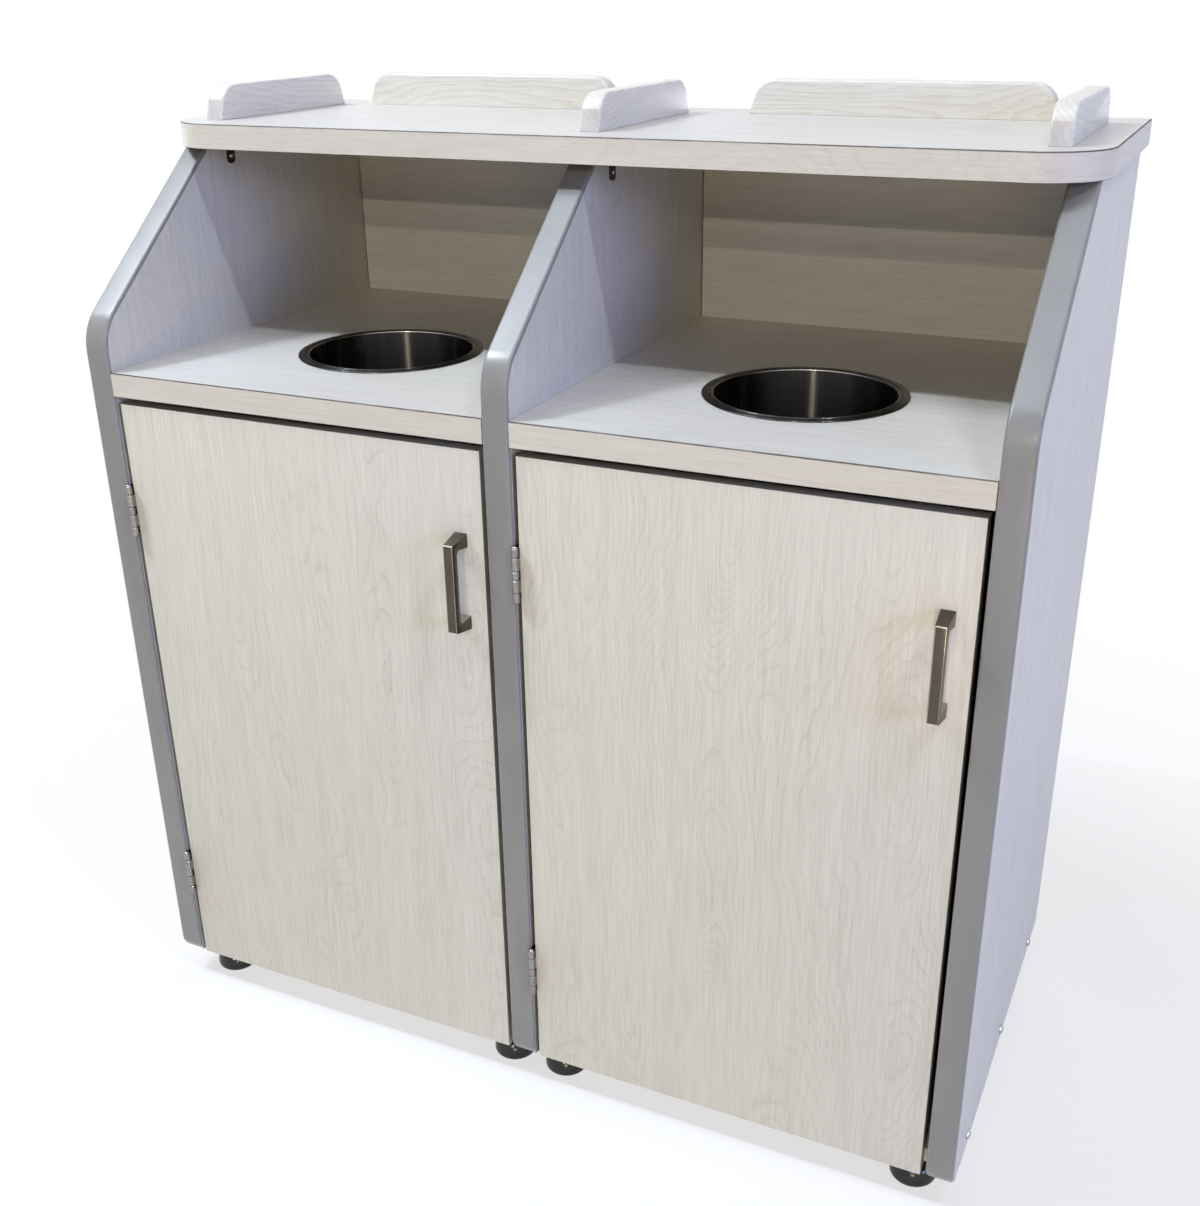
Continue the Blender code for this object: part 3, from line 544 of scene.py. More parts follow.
BIN_GREY = MouldedPlastic("charcoal_polyethylene", "#3B3D40", "#55575A", (0.42, 0.56), 3.0)
BAND_LOOK = ("#DCD7CB", "#ABA294", 0.16)  # pale, dark and arches of a banded edge


def banding(name: str, seed: float, source: Source = Source.SOLID) -> MapleLaminate:
    """The laminate of a banded edge, with less figure than a face."""
    return MapleLaminate("maple_laminate_" + name, Along.X, seed, source, *BAND_LOOK)


def faces_in(geometry: Iterable[Any]) -> list[BMFace]:
    """The faces among some geometry."""
    return [g for g in geometry if isinstance(g, BMFace)]


def verts_in(geometry: Iterable[Any]) -> list[BMVert]:
    """The vertices among some geometry."""
    return [g for g in geometry if isinstance(g, BMVert)]


def face_through(bm: BMesh, points: Iterable[Point]) -> BMFace:
    """A flat face through corner points."""
    return bm.faces.new([bm.verts.new(p) for p in points])


def add_sheet(bm: BMesh, low: Vector, high: Vector) -> BMFace:
    """The flat underside of a box."""
    corners = (low.x, low.y), (high.x, low.y), (high.x, high.y), (low.x, high.y)
    return face_through(bm, [(x, y, low.z) for x, y in corners])


def faces_of(verts: Iterable[BMVert]) -> set[BMFace]:
    """The faces that meet at some vertices."""
    return {f for v in verts for f in v.link_faces}


def edges_where(bm: BMesh, test: Callable[[Vector], bool]) -> list[BMEdge]:
    """The edges whose ends both pass a test of their place."""
    return [e for e in bm.edges if all(test(v.co) for v in e.verts)]


def push(bm: BMesh, faces: Sequence[BMFace], offset: Point) -> list[BMFace]:
    """Extrudes faces along an offset.

    Args:
        bm: The mesh.
        faces: The faces to extrude.
        offset: How far, in metres.

    Returns:
        The moved faces.
    """
    moved = bmesh.ops.extrude_face_region(bm, geom=list(faces))["geom"]
    bmesh.ops.translate(bm, verts=verts_in(moved), vec=offset)
    return faces_in(moved)


def swing(
        bm: BMesh, faces: Sequence[BMFace], centre: Point, angle: float, steps: int) -> list[BMFace]:
    """Sweeps faces round an axis along X.

    Args:
        bm: The mesh.
        faces: The faces to sweep.
        centre: A point of the axis.
        angle: How far, in radians.
        steps: How many facets the sweep has.

    Returns:
        The faces at the sweep's end.
    """
    swept = bmesh.ops.spin(
        bm, geom=list(faces), cent=centre, axis=(1, 0, 0), angle=angle, steps=steps)
    return faces_in(swept["geom_last"])


def open_inside(bm: BMesh) -> None:
    """Takes out the faces left inside where one stretch carries on from another."""
    inside = [f for f in bm.faces if all(len(e.link_faces) > 2 for e in f.edges)]
    bmesh.ops.delete(bm, geom=inside, context="FACES_ONLY")


def round_corners(bm: BMesh, verts: Sequence[BMVert], reach: float, steps: int) -> None:
    """Rounds corners of a flat face.

    Args:
        bm: The mesh.
        verts: The corners.
        reach: Distance from each corner to where its curve starts.
        steps: How many facets the curve has.
    """
    bmesh.ops.bevel(
        bm, geom=list(verts), offset=reach, segments=steps, profile=0.5, affect="VERTICES",
        material=-1)


def ease(bm: BMesh, edges: Iterable[BMEdge], width: float, steps: int = 3) -> list[BMFace]:
    """Bevels edges.

    Args:
        bm: The mesh.
        edges: The edges to take off.
        width: How far each side is cut back.
        steps: How many facets the bevel has.

    Returns:
        The bevel's faces.
    """
    made = bmesh.ops.bevel(
        bm, geom=list(edges), offset=width, segments=steps, profile=0.5, affect="EDGES",
        material=-1, clamp_overlap=True)
    return list(made["faces"])


def crisp_edges(bm: BMesh, angle: float = SMOOTH_ANGLE) -> list[BMEdge]:
    """The edges that turn more than an angle."""
    bmesh.ops.recalc_face_normals(bm, faces=bm.faces[:])
    return [e for e in bm.edges if len(e.link_faces) == 2 and e.calc_face_angle(0) > angle]


def add_block(
        bm: BMesh, low: Point, high: Point, eased: float = 0.0, steps: int = 2) -> list[BMVert]:
    """A block between two corners, with its edges eased.

    Args:
        bm: The mesh.
        low: The lowest corner.
        high: The highest corner.
        eased: Width of the bevel on its edges; none if zero.
        steps: Facets of the bevel.

    Returns:
        The block's vertices.
    """
    size = Vector(high) - Vector(low)
    middle = (Vector(high) + Vector(low)) / 2
    before = set(bm.verts)
    made = bmesh.ops.create_cube(
        bm, size=1, matrix=Matrix.Translation(middle) @ Matrix.Diagonal((*size, 1)))
    if eased:
        ease(bm, {e for v in made["verts"] for e in v.link_edges}, eased, steps)
    return [v for v in bm.verts if v not in before]


def arc(
        centre: Point, radius: float, start: float, end: float,
        steps: int) -> list[tuple[float, float]]:
    """Points of a profile along an arc.

    Args:
        centre: The arc's centre.
        radius: Its radius.
        start: Angle of the first point, in degrees.
        end: Angle of the last point, in degrees.
        steps: How many facets it has.

    Returns:
        The points, both ends included.
    """
    angles = [math.radians(start + (end - start) * i / steps) for i in range(steps + 1)]
    return [(centre[0] + radius * math.cos(a), centre[1] + radius * math.sin(a)) for a in angles]


def turn(bm: BMesh, profile: Sequence[Point], steps: int, closed: bool = False) -> list[BMVert]:
    """Turns a profile of radius and height about Z.

    Args:
        bm: The mesh.
        profile: Points of radius and height.
        steps: Facets round the axis.
        closed: Whether the last point joins the first.

    Returns:
        The turned vertices.
    """
    before = set(bm.verts)
    verts = [bm.verts.new((r, 0, z)) for r, z in profile]
    edges = [bm.edges.new(pair) for pair in zip(verts, verts[1:])]
    if closed:
        edges.append(bm.edges.new((verts[-1], verts[0])))
    bmesh.ops.spin(
        bm, geom=verts + edges, cent=(0, 0, 0), axis=(0, 0, 1), angle=2 * math.pi, steps=steps,
        use_merge=True)
    bmesh.ops.remove_doubles(bm, verts=[v for v in bm.verts if v not in before], dist=1e-6)
    return [v for v in bm.verts if v not in before]


def move(bm: BMesh, matrix: Matrix, verts: Optional[Sequence[BMVert]] = None) -> None:
    """Puts vertices in their place, or all of them if none are given."""
    bmesh.ops.transform(bm, matrix=matrix, verts=list(verts or bm.verts))


def paint_faces(faces: Iterable[BMFace], index: int) -> None:
    """Gives faces one of the piece's finishes."""
    for face in faces:
        face.material_index = index


def add_piece(
        name: str, bm: BMesh, finishes: Sequence[Finish], body: str = CABINET,
        nodes: Sequence[str] = ()) -> bpy.types.Object:
    """Turns a finished bmesh into a piece that rides on a body.

    Args:
        name: The piece's name.
        bm: Its mesh, which is freed.
        finishes: Its finishes, by the faces' material index.
        body: The body that it rides on.
        nodes: The nodes that it stands for.

    Returns:
        The piece.
    """
    bmesh.ops.recalc_face_normals(bm, faces=bm.faces[:])
    mesh = bpy.data.meshes.new(name)
    bm.to_mesh(mesh)
    bm.free()
    for finish in finishes:
        mesh.materials.append(finish.material())
    mesh.shade_smooth()
    mesh.set_sharp_from_angle(angle=SMOOTH_ANGLE)
    piece = bpy.data.objects.new(name, mesh)
    bpy.context.scene.collection.objects.link(piece)
    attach(piece, body)
    if nodes:
        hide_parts(*nodes)
    LOG.info("%s: %d faces on %s", name, len(mesh.polygons), body)
    return piece


@dataclass
class Carcass:
    """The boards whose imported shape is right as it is: uprights and bottoms."""

    frame: dict[str, Any]
    arches: float = 0.22

    def dress(self) -> None:
        """Gives each board its own cut of laminate."""
        cuts = {
            "left_side_panel": (Along.Z, 1.3), "centre_divider": (Along.Z, 2.9),
            "right_side_panel": (Along.Z, 3.7), "left_bottom_panel": (Along.X, 7.1),
            "right_bottom_panel": (Along.X, 8.6)}
        for node, (along, seed) in cuts.items():
            finish = MapleLaminate("maple_laminate_" + node, along, seed, arches=self.arches)
            board = self.frame["nodes"][node]
            board.data.materials.clear()
            board.data.materials.append(finish.material())
            LOG.info("%s: dressed", node)


@dataclass
class BackBoard:
    """The thin board behind a bay, with its laminate trimmed back at both joints."""

    bay: Bay
    seed: float
    seam: float = 0.0011
    arches: float = 0.12

    def build(self) -> BMesh:
        """Models the board.

        Returns:
            Its mesh: face 0, core line 1.
        """
        low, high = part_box(self.bay.value + "_back_panel")
        bm = bmesh.new()
        add_block(bm, low, high)
        front = edges_where(bm, lambda p: p.y < low.y + NEAR)
        joints = [e for e in front if abs(e.verts[0].co.x - e.verts[1].co.x) < NEAR]
        paint_faces(ease(bm, joints, self.seam, 1), 1)
        return bm

    def dress(self) -> None:
        """Adds the board in laminate with a faint figure."""
        name = self.bay.value + "_back_panel"
        face = MapleLaminate("maple_laminate_" + name, Along.X, self.seed, arches=self.arches)
        add_piece(name + "_board", self.build(), (face, CORE), nodes=(name,))


@dataclass
class TopBoard:
    """The top: a laminated board, round at its front corners, with a banded rim."""

    corner: float = 0.075
    corner_steps: int = 24
    seam: float = 0.0013
    lower_seam: float = 0.0006
    # The top's print is a shade darker than the other boards': painted shade that tones down the
    # overhead lamps on it
    pale: str = "#D3D0C9"
    seed: float = 0.7
    rim_seed: float = 4.1

    def round_the_rim(self, x: float, y: float, low: Vector, high: Vector) -> float:
        """Distance along the rim from the middle of the front.

        Args:
            x: Place across.
            y: Place in depth.
            low: The board's lowest corner.
            high: The board's highest corner.

        Returns:
            The distance in metres, negative towards the left.
        """
        straight = high.x - self.corner
        bend = low.y + self.corner
        if abs(x) <= straight:
            return x
        reach = straight + self.corner * math.pi / 2 + y - bend
        if y < bend:
            reach = straight + self.corner * math.atan2(abs(x) - straight, bend - y)
        return math.copysign(reach, x)

    def build(self) -> BMesh:
        """Models the board.

        Returns:
            Its mesh: face 0, core line and dark backer sheet 1, rim 2; the backer is painted shade.
        """
        low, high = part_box("top_panel")
        bm = bmesh.new()
        add_sheet(bm, low, high)
        front = [v for v in bm.verts if v.co.y < low.y + NEAR]
        round_corners(bm, front, self.corner, self.corner_steps)
        push(bm, bm.faces[:], (0, 0, high.z - low.z))
        seams = ease(bm, edges_where(bm, lambda p: p.z > high.z - NEAR), self.seam, 1)
        seams += ease(bm, edges_where(bm, lambda p: p.z < low.z + NEAR), self.lower_seam, 1)
        bmesh.ops.recalc_face_normals(bm, faces=bm.faces[:])
        band = bm.loops.layers.uv.new("band")
        for face in bm.faces:
            if abs(face.normal.z) > MOSTLY:
                # The underside gets the dark core as a backer sheet, which is also painted shade: it
                # cuts the light bounced into the bays
                face.material_index = int(face.normal.z < 0)
                continue
            face.material_index = 2
            for loop in face.loops:
                x, y, z = loop.vert.co
                along = x if face.normal.y > MOSTLY else self.round_the_rim(x, y, low, high)
                loop[band].uv = (along, z)
        paint_faces(seams, 1)
        return bm

    def dress(self) -> None:
        """Adds the board in laminate."""
        face = MapleLaminate("maple_laminate_top", Along.X, self.seed, pale=self.pale)
        finishes = (face, CORE, banding("top_rim", self.rim_seed, Source.BAND))
        add_piece("top_board", self.build(), finishes, nodes=("top_panel",))


@dataclass
class Deck:
    """The board above a cupboard, with a round hole for the chute and a banded front."""

    bay: Bay
    seed: float
    hole: float = 0.1035
    hole_steps: int = 96
    seam: float = 0.0013
    lower_seam: float = 0.0006
    band_shift: float = 1.9

    def build(self) -> BMesh:
        """Models the deck.

        Returns:
            Its mesh: face 0, core line 1, front band 2.
        """
        low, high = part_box(self.bay.value + "_deck")
        ring_low, ring_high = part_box(self.bay.value + "_chute_ring")
        centre = (ring_low + ring_high) / 2
        bm = bmesh.new()
        bmesh.ops.delete(bm, geom=[add_sheet(bm, low, high)], context="FACES_ONLY")
        bmesh.ops.create_circle(
            bm, segments=self.hole_steps, radius=self.hole,
            matrix=Matrix.Translation((centre.x, centre.y, low.z)))
        filled = bmesh.ops.triangle_fill(bm, use_beauty=True, edges=bm.edges[:], normal=(0, 0, 1))
        push(bm, faces_in(filled["geom"]), (0, 0, high.z - low.z))
        front = low.y + NEAR
        seams = ease(
            bm, edges_where(bm, lambda p: p.y < front and p.z > high.z - NEAR), self.seam, 1)
        seams += ease(
            bm, edges_where(bm, lambda p: p.y < front and p.z < low.z + NEAR), self.lower_seam, 1)
        bmesh.ops.recalc_face_normals(bm, faces=bm.faces[:])
        paint_faces([
            f for f in bm.faces
            if f.normal.y < -SQUARELY and f.calc_center_median().y < front], 2)
        paint_faces(seams, 1)
        return bm

    def dress(self) -> None:
        """Adds the deck in laminate."""
        name = self.bay.value + "_deck"
        face = MapleLaminate("maple_laminate_" + name, Along.X, self.seed)
        finishes = (face, CORE, banding(name + "_band", self.seed + self.band_shift))
        add_piece(name + "_board", self.build(), finishes, nodes=(name,))


@dataclass
class EdgeMoulding:
    """A T-moulding from under the toe, up the front, round the bend and up the slope."""

    upright: Upright
    thickness: float = 0.0045
    crown: float = 0.0004
    crown_steps: int = 4
    rounding: float = 0.0034
    rounding_steps: int = 6
    tail: float = 0.020
    tongue: tuple[float, float] = (0.0024, 0.009)  # thickness, length
    toe: float = 0.026
    bend_height: float = 0.900
    bend_radius: float = 0.060
    slope_run: float = 0.224
    steps: int = 28

    def section(self, bm: BMesh, half: float) -> BMFace:
        """The cross-section, flat under the toe.

        Args:
            bm: The mesh.
            half: Half the panel's thickness.

        Returns:
            Its face, with round outer corners.
        """
        root = self.thickness
        tip = root + self.tongue[1]
        side = self.tongue[0] / 2
        shares = [i / self.crown_steps for i in range(-self.crown_steps, self.crown_steps + 1)]
        face = [(half * s, self.crown * s ** 2) for s in shares]
        back = [(half, root), (side, root), (side, tip), (-side, tip), (-side, root), (-half, root)]
        start = self.toe + self.tail
        made = face_through(bm, [(x, start, z) for x, z in face + back])
        corners = [v for v in made.verts if abs(v.co.x) > half - NEAR and v.co.z < root / 2]
        round_corners(bm, corners, self.rounding, self.rounding_steps)
        return bm.faces[:][0]

    def build(self) -> BMesh:
        """Sweeps the section along the panel's front edge.

        Returns:
            The moulding's mesh, in place.
        """
        low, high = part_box(self.upright.value + "_edge_moulding")
        height = high.z - low.z
        lean = math.atan2(self.slope_run, height - self.bend_height)
        bend = self.bend_height - self.bend_radius * math.tan(lean / 2)
        bm = bmesh.new()
        faces = [self.section(bm, (high.x - low.x) / 2)]
        faces = push(bm, faces, (0, -self.tail, 0))
        faces = swing(bm, faces, (0, self.toe, self.toe), -math.pi / 2, self.steps)
        faces = push(bm, faces, (0, 0, bend - self.toe))
        faces = swing(bm, faces, (0, self.bend_radius, bend), -lean, self.steps)
        faces = push(bm, faces, (0, 0, 0))
        up = Vector((0, math.sin(lean), math.cos(lean)))
        for vert in {v for f in faces for v in f.verts}:
            vert.co += up * ((height - vert.co.z) / up.z)
        open_inside(bm)
        move(bm, Matrix.Translation(((low.x + high.x) / 2, low.y, low.z)))
        return bm

    def dress(self) -> None:
        """Adds the moulding in grey PVC."""
        name = self.upright.value + "_edge_moulding"
        add_piece(name + "_strip", self.build(), (EDGING,), nodes=(name,))


@dataclass
class TrayGuide:
    """A wooden guide on the top: leaning ends, round upper corners, eased edges."""

    name: str
    runs: Along
    seed: float
    slant: float = math.radians(18)
    rounding: float = 0.028
    rounding_steps: int = 14
    eased: float = 0.003
    eased_steps: int = 4
    end_colours: tuple[str, str] = ("#C6BFBA", "#9C9187")  # pale, line

    def build(self) -> BMesh:
        """Models the guide.

        Returns:
            Its mesh, in place: faces 0, end grain 1.
        """
        low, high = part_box(self.name + "_tray_guide")
        size = high - low
        length, thick = (size.x, size.y) if self.runs is Along.X else (size.y, size.x)
        drop = size.z * math.tan(self.slant)
        bm = bmesh.new()
        face_through(bm, (
            (-length / 2, -thick / 2, 0), (length / 2, -thick / 2, 0),
            (length / 2 - drop, -thick / 2, size.z), (drop - length / 2, -thick / 2, size.z)))
        upper = [v for v in bm.verts if v.co.z > size.z - NEAR]
        reach = self.rounding * math.tan((math.pi / 2 - self.slant) / 2)
        round_corners(bm, upper, reach, self.rounding_steps)
        push(bm, bm.faces[:], (0, thick, 0))
        rim = [
            e for e in bm.edges
            if abs(e.verts[0].co.y - e.verts[1].co.y) < NEAR and max(v.co.z for v in e.verts) > NEAR]
        ease(bm, rim, self.eased, self.eased_steps)
        bm.normal_update()
        paint_faces([f for f in bm.faces if abs(f.normal.x) > SQUARELY], 1)
        place = Matrix.Translation(((low.x + high.x) / 2, (low.y + high.y) / 2, low.z))
        if self.runs is Along.Y:
            place = place @ Matrix.Rotation(math.pi / 2, 4, "Z")
        move(bm, place)
        return bm

    def dress(self) -> None:
        """Adds the guide in solid maple."""
        node = self.name + "_tray_guide"
        wood = WashedMaple("washed_maple_" + node, self.runs, self.seed)
        ends = WashedMaple("maple_end_grain_" + node, self.runs, self.seed, *self.end_colours)
        add_piece(node + "_rail", self.build(), (wood, ends), nodes=(node,))


@dataclass
class ChuteRing:
    """A spun steel ring with a flange on the deck and a deep tube."""

    bay: Bay
    throat: float = 0.1010
    wall: float = 0.0015
    flange: float = 0.002
    lip: float = 0.0018
    bead: float = 0.0042
    groove: tuple[float, float] = (0.0016, 0.0005)  # width, depth
    groove_side: float = 0.0004
    drop: float = 0.0001
    fall: float = 0.0006
    rounding: float = 0.0009
    # Share of the lip's radius, beyond the throat, that gets the painted highlight
    highlight_reach: float = 0.8
    steps: int = 128

    def build(self) -> BMesh:
        """Turns the ring's section.

        Returns:
            Its mesh, in place: spun faces 0, lip with a painted highlight 1.
        """
        low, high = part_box(self.bay.value + "_chute_ring")
        rim, top = (high.x - low.x) / 2, high.z
        outside, seat = self.throat + self.wall, top - self.flange
        start, floor = self.throat + self.bead, top - self.groove[1]
        end, side = start + self.groove[0], self.groove_side
        profile = [(self.throat, low.z)]
        profile += arc((self.throat + self.lip, top - self.lip), self.lip, 180, 90, 6)
        profile += [(start, top), (start + side, floor), (end - side, floor), (end, top - self.drop)]
        edge = (rim - self.rounding, top - self.fall - self.rounding)
        profile += arc(edge, self.rounding, 80, 0, 4)
        profile += [(rim, seat), (outside, seat), (outside, low.z)]
        bm = bmesh.new()
        turn(bm, profile, self.steps, True)
        # The inner lip gets the bright steel as a painted highlight
        for face in bm.faces:
            middle = face.calc_center_median()
            inner = middle.xy.length < self.throat + self.highlight_reach * self.lip
            face.material_index = int(inner and middle.z > top - self.lip)
        move(bm, Matrix.Translation(((low.x + high.x) / 2, (low.y + high.y) / 2, 0)))
        return bm

    def dress(self) -> None:
        """Adds the ring in stainless steel, with a painted highlight on its lip."""
        node = self.bay.value + "_chute_ring"
        finishes = (STAINLESS, STEEL_PAINTED_HIGHLIGHT)
        add_piece(node + "_spun", self.build(), finishes, nodes=(node,))


def add_screw(
        bm: BMesh, place: Point, facing: Facing, size: tuple[float, float], index: int) -> None:
    """A domed screw head with a recess.

    Args:
        bm: The mesh that takes it.
        place: Where the middle of its seat goes.
        facing: The way it faces.
        size: Radius and height of the head.
        index: The finish among the piece's own.
    """
    radius, rise = size
    verts = turn(bm, [(radius * r, rise * z) for r, z in SCREW_DOME], SCREW_STEPS)
    for vert in verts:
        if vert.co.xy.length < radius * SCREW_RECESS[0]:
            vert.co.z -= rise * SCREW_RECESS[1]
    cap = [e for e in {e for v in verts for e in v.link_edges} if len(e.link_faces) == 1]
    bmesh.ops.holes_fill(bm, edges=cap)
    paint_faces(faces_of(verts), index)
    angle, axis = facing.value
    move(bm, Matrix.Translation(place) @ Matrix.Rotation(angle, 4, axis), verts)


@dataclass
class Door:
    """A laminated door with banded edges and a strike plate."""

    bay: Bay
    seed: float
    # The doors' print is a shade yellower than the other boards': painted warm light from the front
    # lamps
    pale: str = "#DAD6C9"
    arches: float = 0.27
    eased: float = 0.0008
    strike_eased: float = 0.0005
    strike_screw: tuple[float, float] = (0.0026, 0.0003)  # radius, height
    strike_screw_at: float = 0.012

    @property
    def body(self) -> str:
        """The body that the door moves with."""
        return self.bay.value + "_door"

    def build(self) -> BMesh:
        """Models the door's board.

        Returns:
            Its mesh: faces 0, banded edges 1.
        """
        low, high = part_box(self.body)
        bm = bmesh.new()
        add_block(bm, low, high, self.eased)
        bmesh.ops.recalc_face_normals(bm, faces=bm.faces[:])
        paint_faces([f for f in bm.faces if abs(f.normal.y) < MOSTLY], 1)
        return bm

    def build_strike(self) -> BMesh:
        """Models the strike plate with its screws.

        Returns:
            Its mesh: plate 0, screws 1.
        """
        low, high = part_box(self.bay.value + "_strike_plate")
        middle = (low + high) / 2
        bm = bmesh.new()
        add_block(bm, low, high, self.strike_eased)
        for x in (middle.x - self.strike_screw_at, middle.x + self.strike_screw_at):
            add_screw(bm, (x, high.y, middle.z), Facing.BACK, self.strike_screw, 1)
        return bm

    def dress(self) -> None:
        """Adds the door's board and strike plate."""
        name = self.bay.value
        face = MapleLaminate(
            "maple_laminate_" + self.body, Along.Z, self.seed, pale=self.pale, arches=self.arches)
        add_piece(
            self.body + "_board", self.build(), (face, EDGING), self.body, (self.body,))
        add_piece(
            name + "_strike_plate_screwed", self.build_strike(), (ZINC, HINGE_STEEL),
            self.body, (name + "_strike_plate",))


@dataclass
class BowHandle:
    """A cast bow handle whose legs taper from the door to the bar."""

    bay: Bay
    face_length: float = 0.104
    leg: float = 0.016
    face_leg: float = 0.008
    base_width: float = 0.015
    face_width: float = 0.012
    bar: float = 0.009
    fillet: float = 0.006
    fillet_steps: int = 8
    eased: float = 0.0009
    crisp: float = math.radians(20)
    # Greatest lean of a face that gets the painted highlight
    worn: float = 0.3
    screw: tuple[float, float] = (0.0042, 0.0022)  # radius, height

    def build(self) -> BMesh:
        """Models the handle.

        Returns:
            Its mesh, in place: satin faces 0, edges and ledges with a painted highlight 1.
        """
        low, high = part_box(self.bay.value + "_door_handle")
        out = high.y - low.y
        half = (high.z - low.z) / 2
        face = self.face_length / 2
        inside = face - self.face_leg
        bm = bmesh.new()
        outline = (
            (0, half), (-out, face), (-out, -face), (0, -half), (0, self.leg - half),
            (self.bar - out, -inside), (self.bar - out, inside), (0, half - self.leg))
        face_through(bm, [(-0.5, y, z) for y, z in outline])
        inner = [v for v in bm.verts if abs(v.co.y - self.bar + out) < NEAR]
        round_corners(bm, inner, self.fillet, self.fillet_steps)
        push(bm, bm.faces[:], (1, 0, 0))
        for vert in bm.verts:
            reach = -vert.co.y / out
            vert.co.x *= self.base_width + (self.face_width - self.base_width) * reach
        crisp = [e for e in crisp_edges(bm, self.crisp) if max(v.co.y for v in e.verts) < -NEAR]
        eased = ease(bm, crisp, self.eased)
        bm.normal_update()
        # Eased edges and the lower leg's upward ledge get the bright nickel as painted highlights
        paint_faces([f for f in eased if abs(f.normal.x) < self.worn], 1)
        paint_faces([
            f for f in bm.faces if f.normal.z > self.worn and f.calc_center_median().z < 0], 1)
        move(bm, Matrix.Translation(((low.x + high.x) / 2, high.y, (low.z + high.z) / 2)))
        return bm

    def build_screws(self) -> BMesh:
        """Models the two screws that hold the handle from behind the door.

        Returns:
            Their mesh, in place.
        """
        low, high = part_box(self.bay.value + "_door_handle")
        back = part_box(self.bay.value + "_door")[1].y
        bm = bmesh.new()
        for z in (low.z + self.leg / 2, high.z - self.leg / 2):
            add_screw(bm, ((low.x + high.x) / 2, back, z), Facing.BACK, self.screw, 0)
        return bm

    def dress(self) -> None:
        """Adds the handle in satin nickel, and its screws."""
        door = self.bay.value + "_door"
        node = door + "_handle"
        add_piece(node + "_bow", self.build(), (NICKEL, NICKEL_PAINTED_HIGHLIGHT), door, (node,))
        add_piece(node + "_screws", self.build_screws(), (ZINC,), door)


@dataclass
class ButtHinge:
    """A butt hinge: two leaves with chamfered knuckles on a headed pin."""

    bay: Bay
    level: Level
    barrel: float = 0.004
    leaf: float = 0.0015
    gap: float = 0.0005
    chamfer: float = 0.0009
    joints: tuple[float, ...] = (0.0, 0.185, 0.43, 0.585, 0.83, 1.0)
    eased: float = 0.0003
    web: tuple[float, float] = (0.001, 0.0002)  # lap on the leaf, clearance at its ends
    screw: tuple[float, float] = (0.0028, 0.0005)  # radius, height
    screws_at: tuple[float, ...] = (0.2, 0.8)
    screw_back: float = 0.002
    shank: tuple[float, float] = (0.0018, 0.0016)  # radius, distance from the end
    head: tuple[float, float] = (0.55, 0.0001)  # share of the radius, rise of its flat
    head_round: tuple[float, float] = (0.6, 0.0012)  # share of the radius, rounding
    steps: int = 32

    @property
    def name(self) -> str:
        """The start of the names of the hinge's nodes."""
        return f"{self.bay.value}_{self.level.value}_hinge"

    def build_leaf(self, node: str, own: range, side: int) -> BMesh:
        """Models one leaf with its own knuckles and screws.

        Args:
            node: The leaf's node.
            own: Which knuckles belong to it, counted from below.
            side: -1 for the frame's leaf, 1 for the door's.

        Returns:
            Its mesh: metal 0, screws 1.
        """
        low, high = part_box(node)
        pin_low, pin_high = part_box(self.name + "_pin")
        axis = (pin_low + pin_high) / 2
        frame_low, frame_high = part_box(self.name + "_frame_leaf")
        start, length = frame_low.z, frame_high.z - frame_low.z
        far = low.x if side < 0 else high.x
        near = far - side * self.leaf
        flat = sorted((far, near))
        reach = axis.y + self.barrel + self.gap
        rolled = self.barrel - self.chamfer
        overlap, clear = self.web
        bm = bmesh.new()
        add_block(bm, (flat[0], reach, start), (flat[1], high.y, start + length), self.eased, 1)
        for i in own:
            bottom = start + self.joints[i] * length + (self.gap / 2 if i else 0)
            last = i + 2 == len(self.joints)
            top = start + self.joints[i + 1] * length - (0 if last else self.gap / 2)
            turned = turn(bm, (
                (0, bottom), (rolled, bottom), (self.barrel, bottom + self.chamfer),
                (self.barrel, top - self.chamfer), (rolled, top), (0, top)), self.steps)
            move(bm, Matrix.Translation((axis.x, axis.y, 0)), turned)
            add_block(
                bm, (flat[0], axis.y, bottom + clear), (flat[1], reach + overlap, top - clear))
        facing = Facing.RIGHT if side < 0 else Facing.LEFT
        middle = (reach + high.y) / 2 + self.screw_back
        for share in self.screws_at:
            add_screw(bm, (near, middle, start + share * length), facing, self.screw, 1)
        return bm

    def build_pin(self) -> BMesh:
        """Models the pin's two heads and shank.

        Returns:
            Its mesh, in place.
        """
        low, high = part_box(self.name + "_pin")
        radius = (high.x - low.x) / 2
        middle = (low + high) / 2
        thin, start = self.shank
        across, rounding = self.head_round
        head = [(0, 0), (radius * self.head[0], self.head[1])]
        head += arc((radius * across, rounding), rounding, -80, 0, 4)
        lower = [(r, low.z + z) for r, z in head] + [(thin, low.z + start)]
        upper = [(thin, high.z - start)] + [(r, high.z - z) for r, z in reversed(head)]
        bm = bmesh.new()
        turn(bm, lower + upper, self.steps)
        move(bm, Matrix.Translation((middle.x, middle.y, 0)))
        return bm

    def dress(self) -> None:
        """Adds both leaves and the pin in nickel-plated steel."""
        knuckles = len(self.joints) - 1
        leaves = (
            ("_frame_leaf", range(0, knuckles, 2), -1, CABINET),
            ("_door_leaf", range(1, knuckles, 2), 1, self.bay.value + "_door"))
        for part, own, side, body in leaves:
            node = self.name + part
            bm = self.build_leaf(node, own, side)
            add_piece(node + "_rolled", bm, (HINGE_STEEL, ZINC), body, (node,))
        add_piece(
            self.name + "_headed_pin", self.build_pin(), (PIN_STEEL,),
            nodes=(self.name + "_pin",))


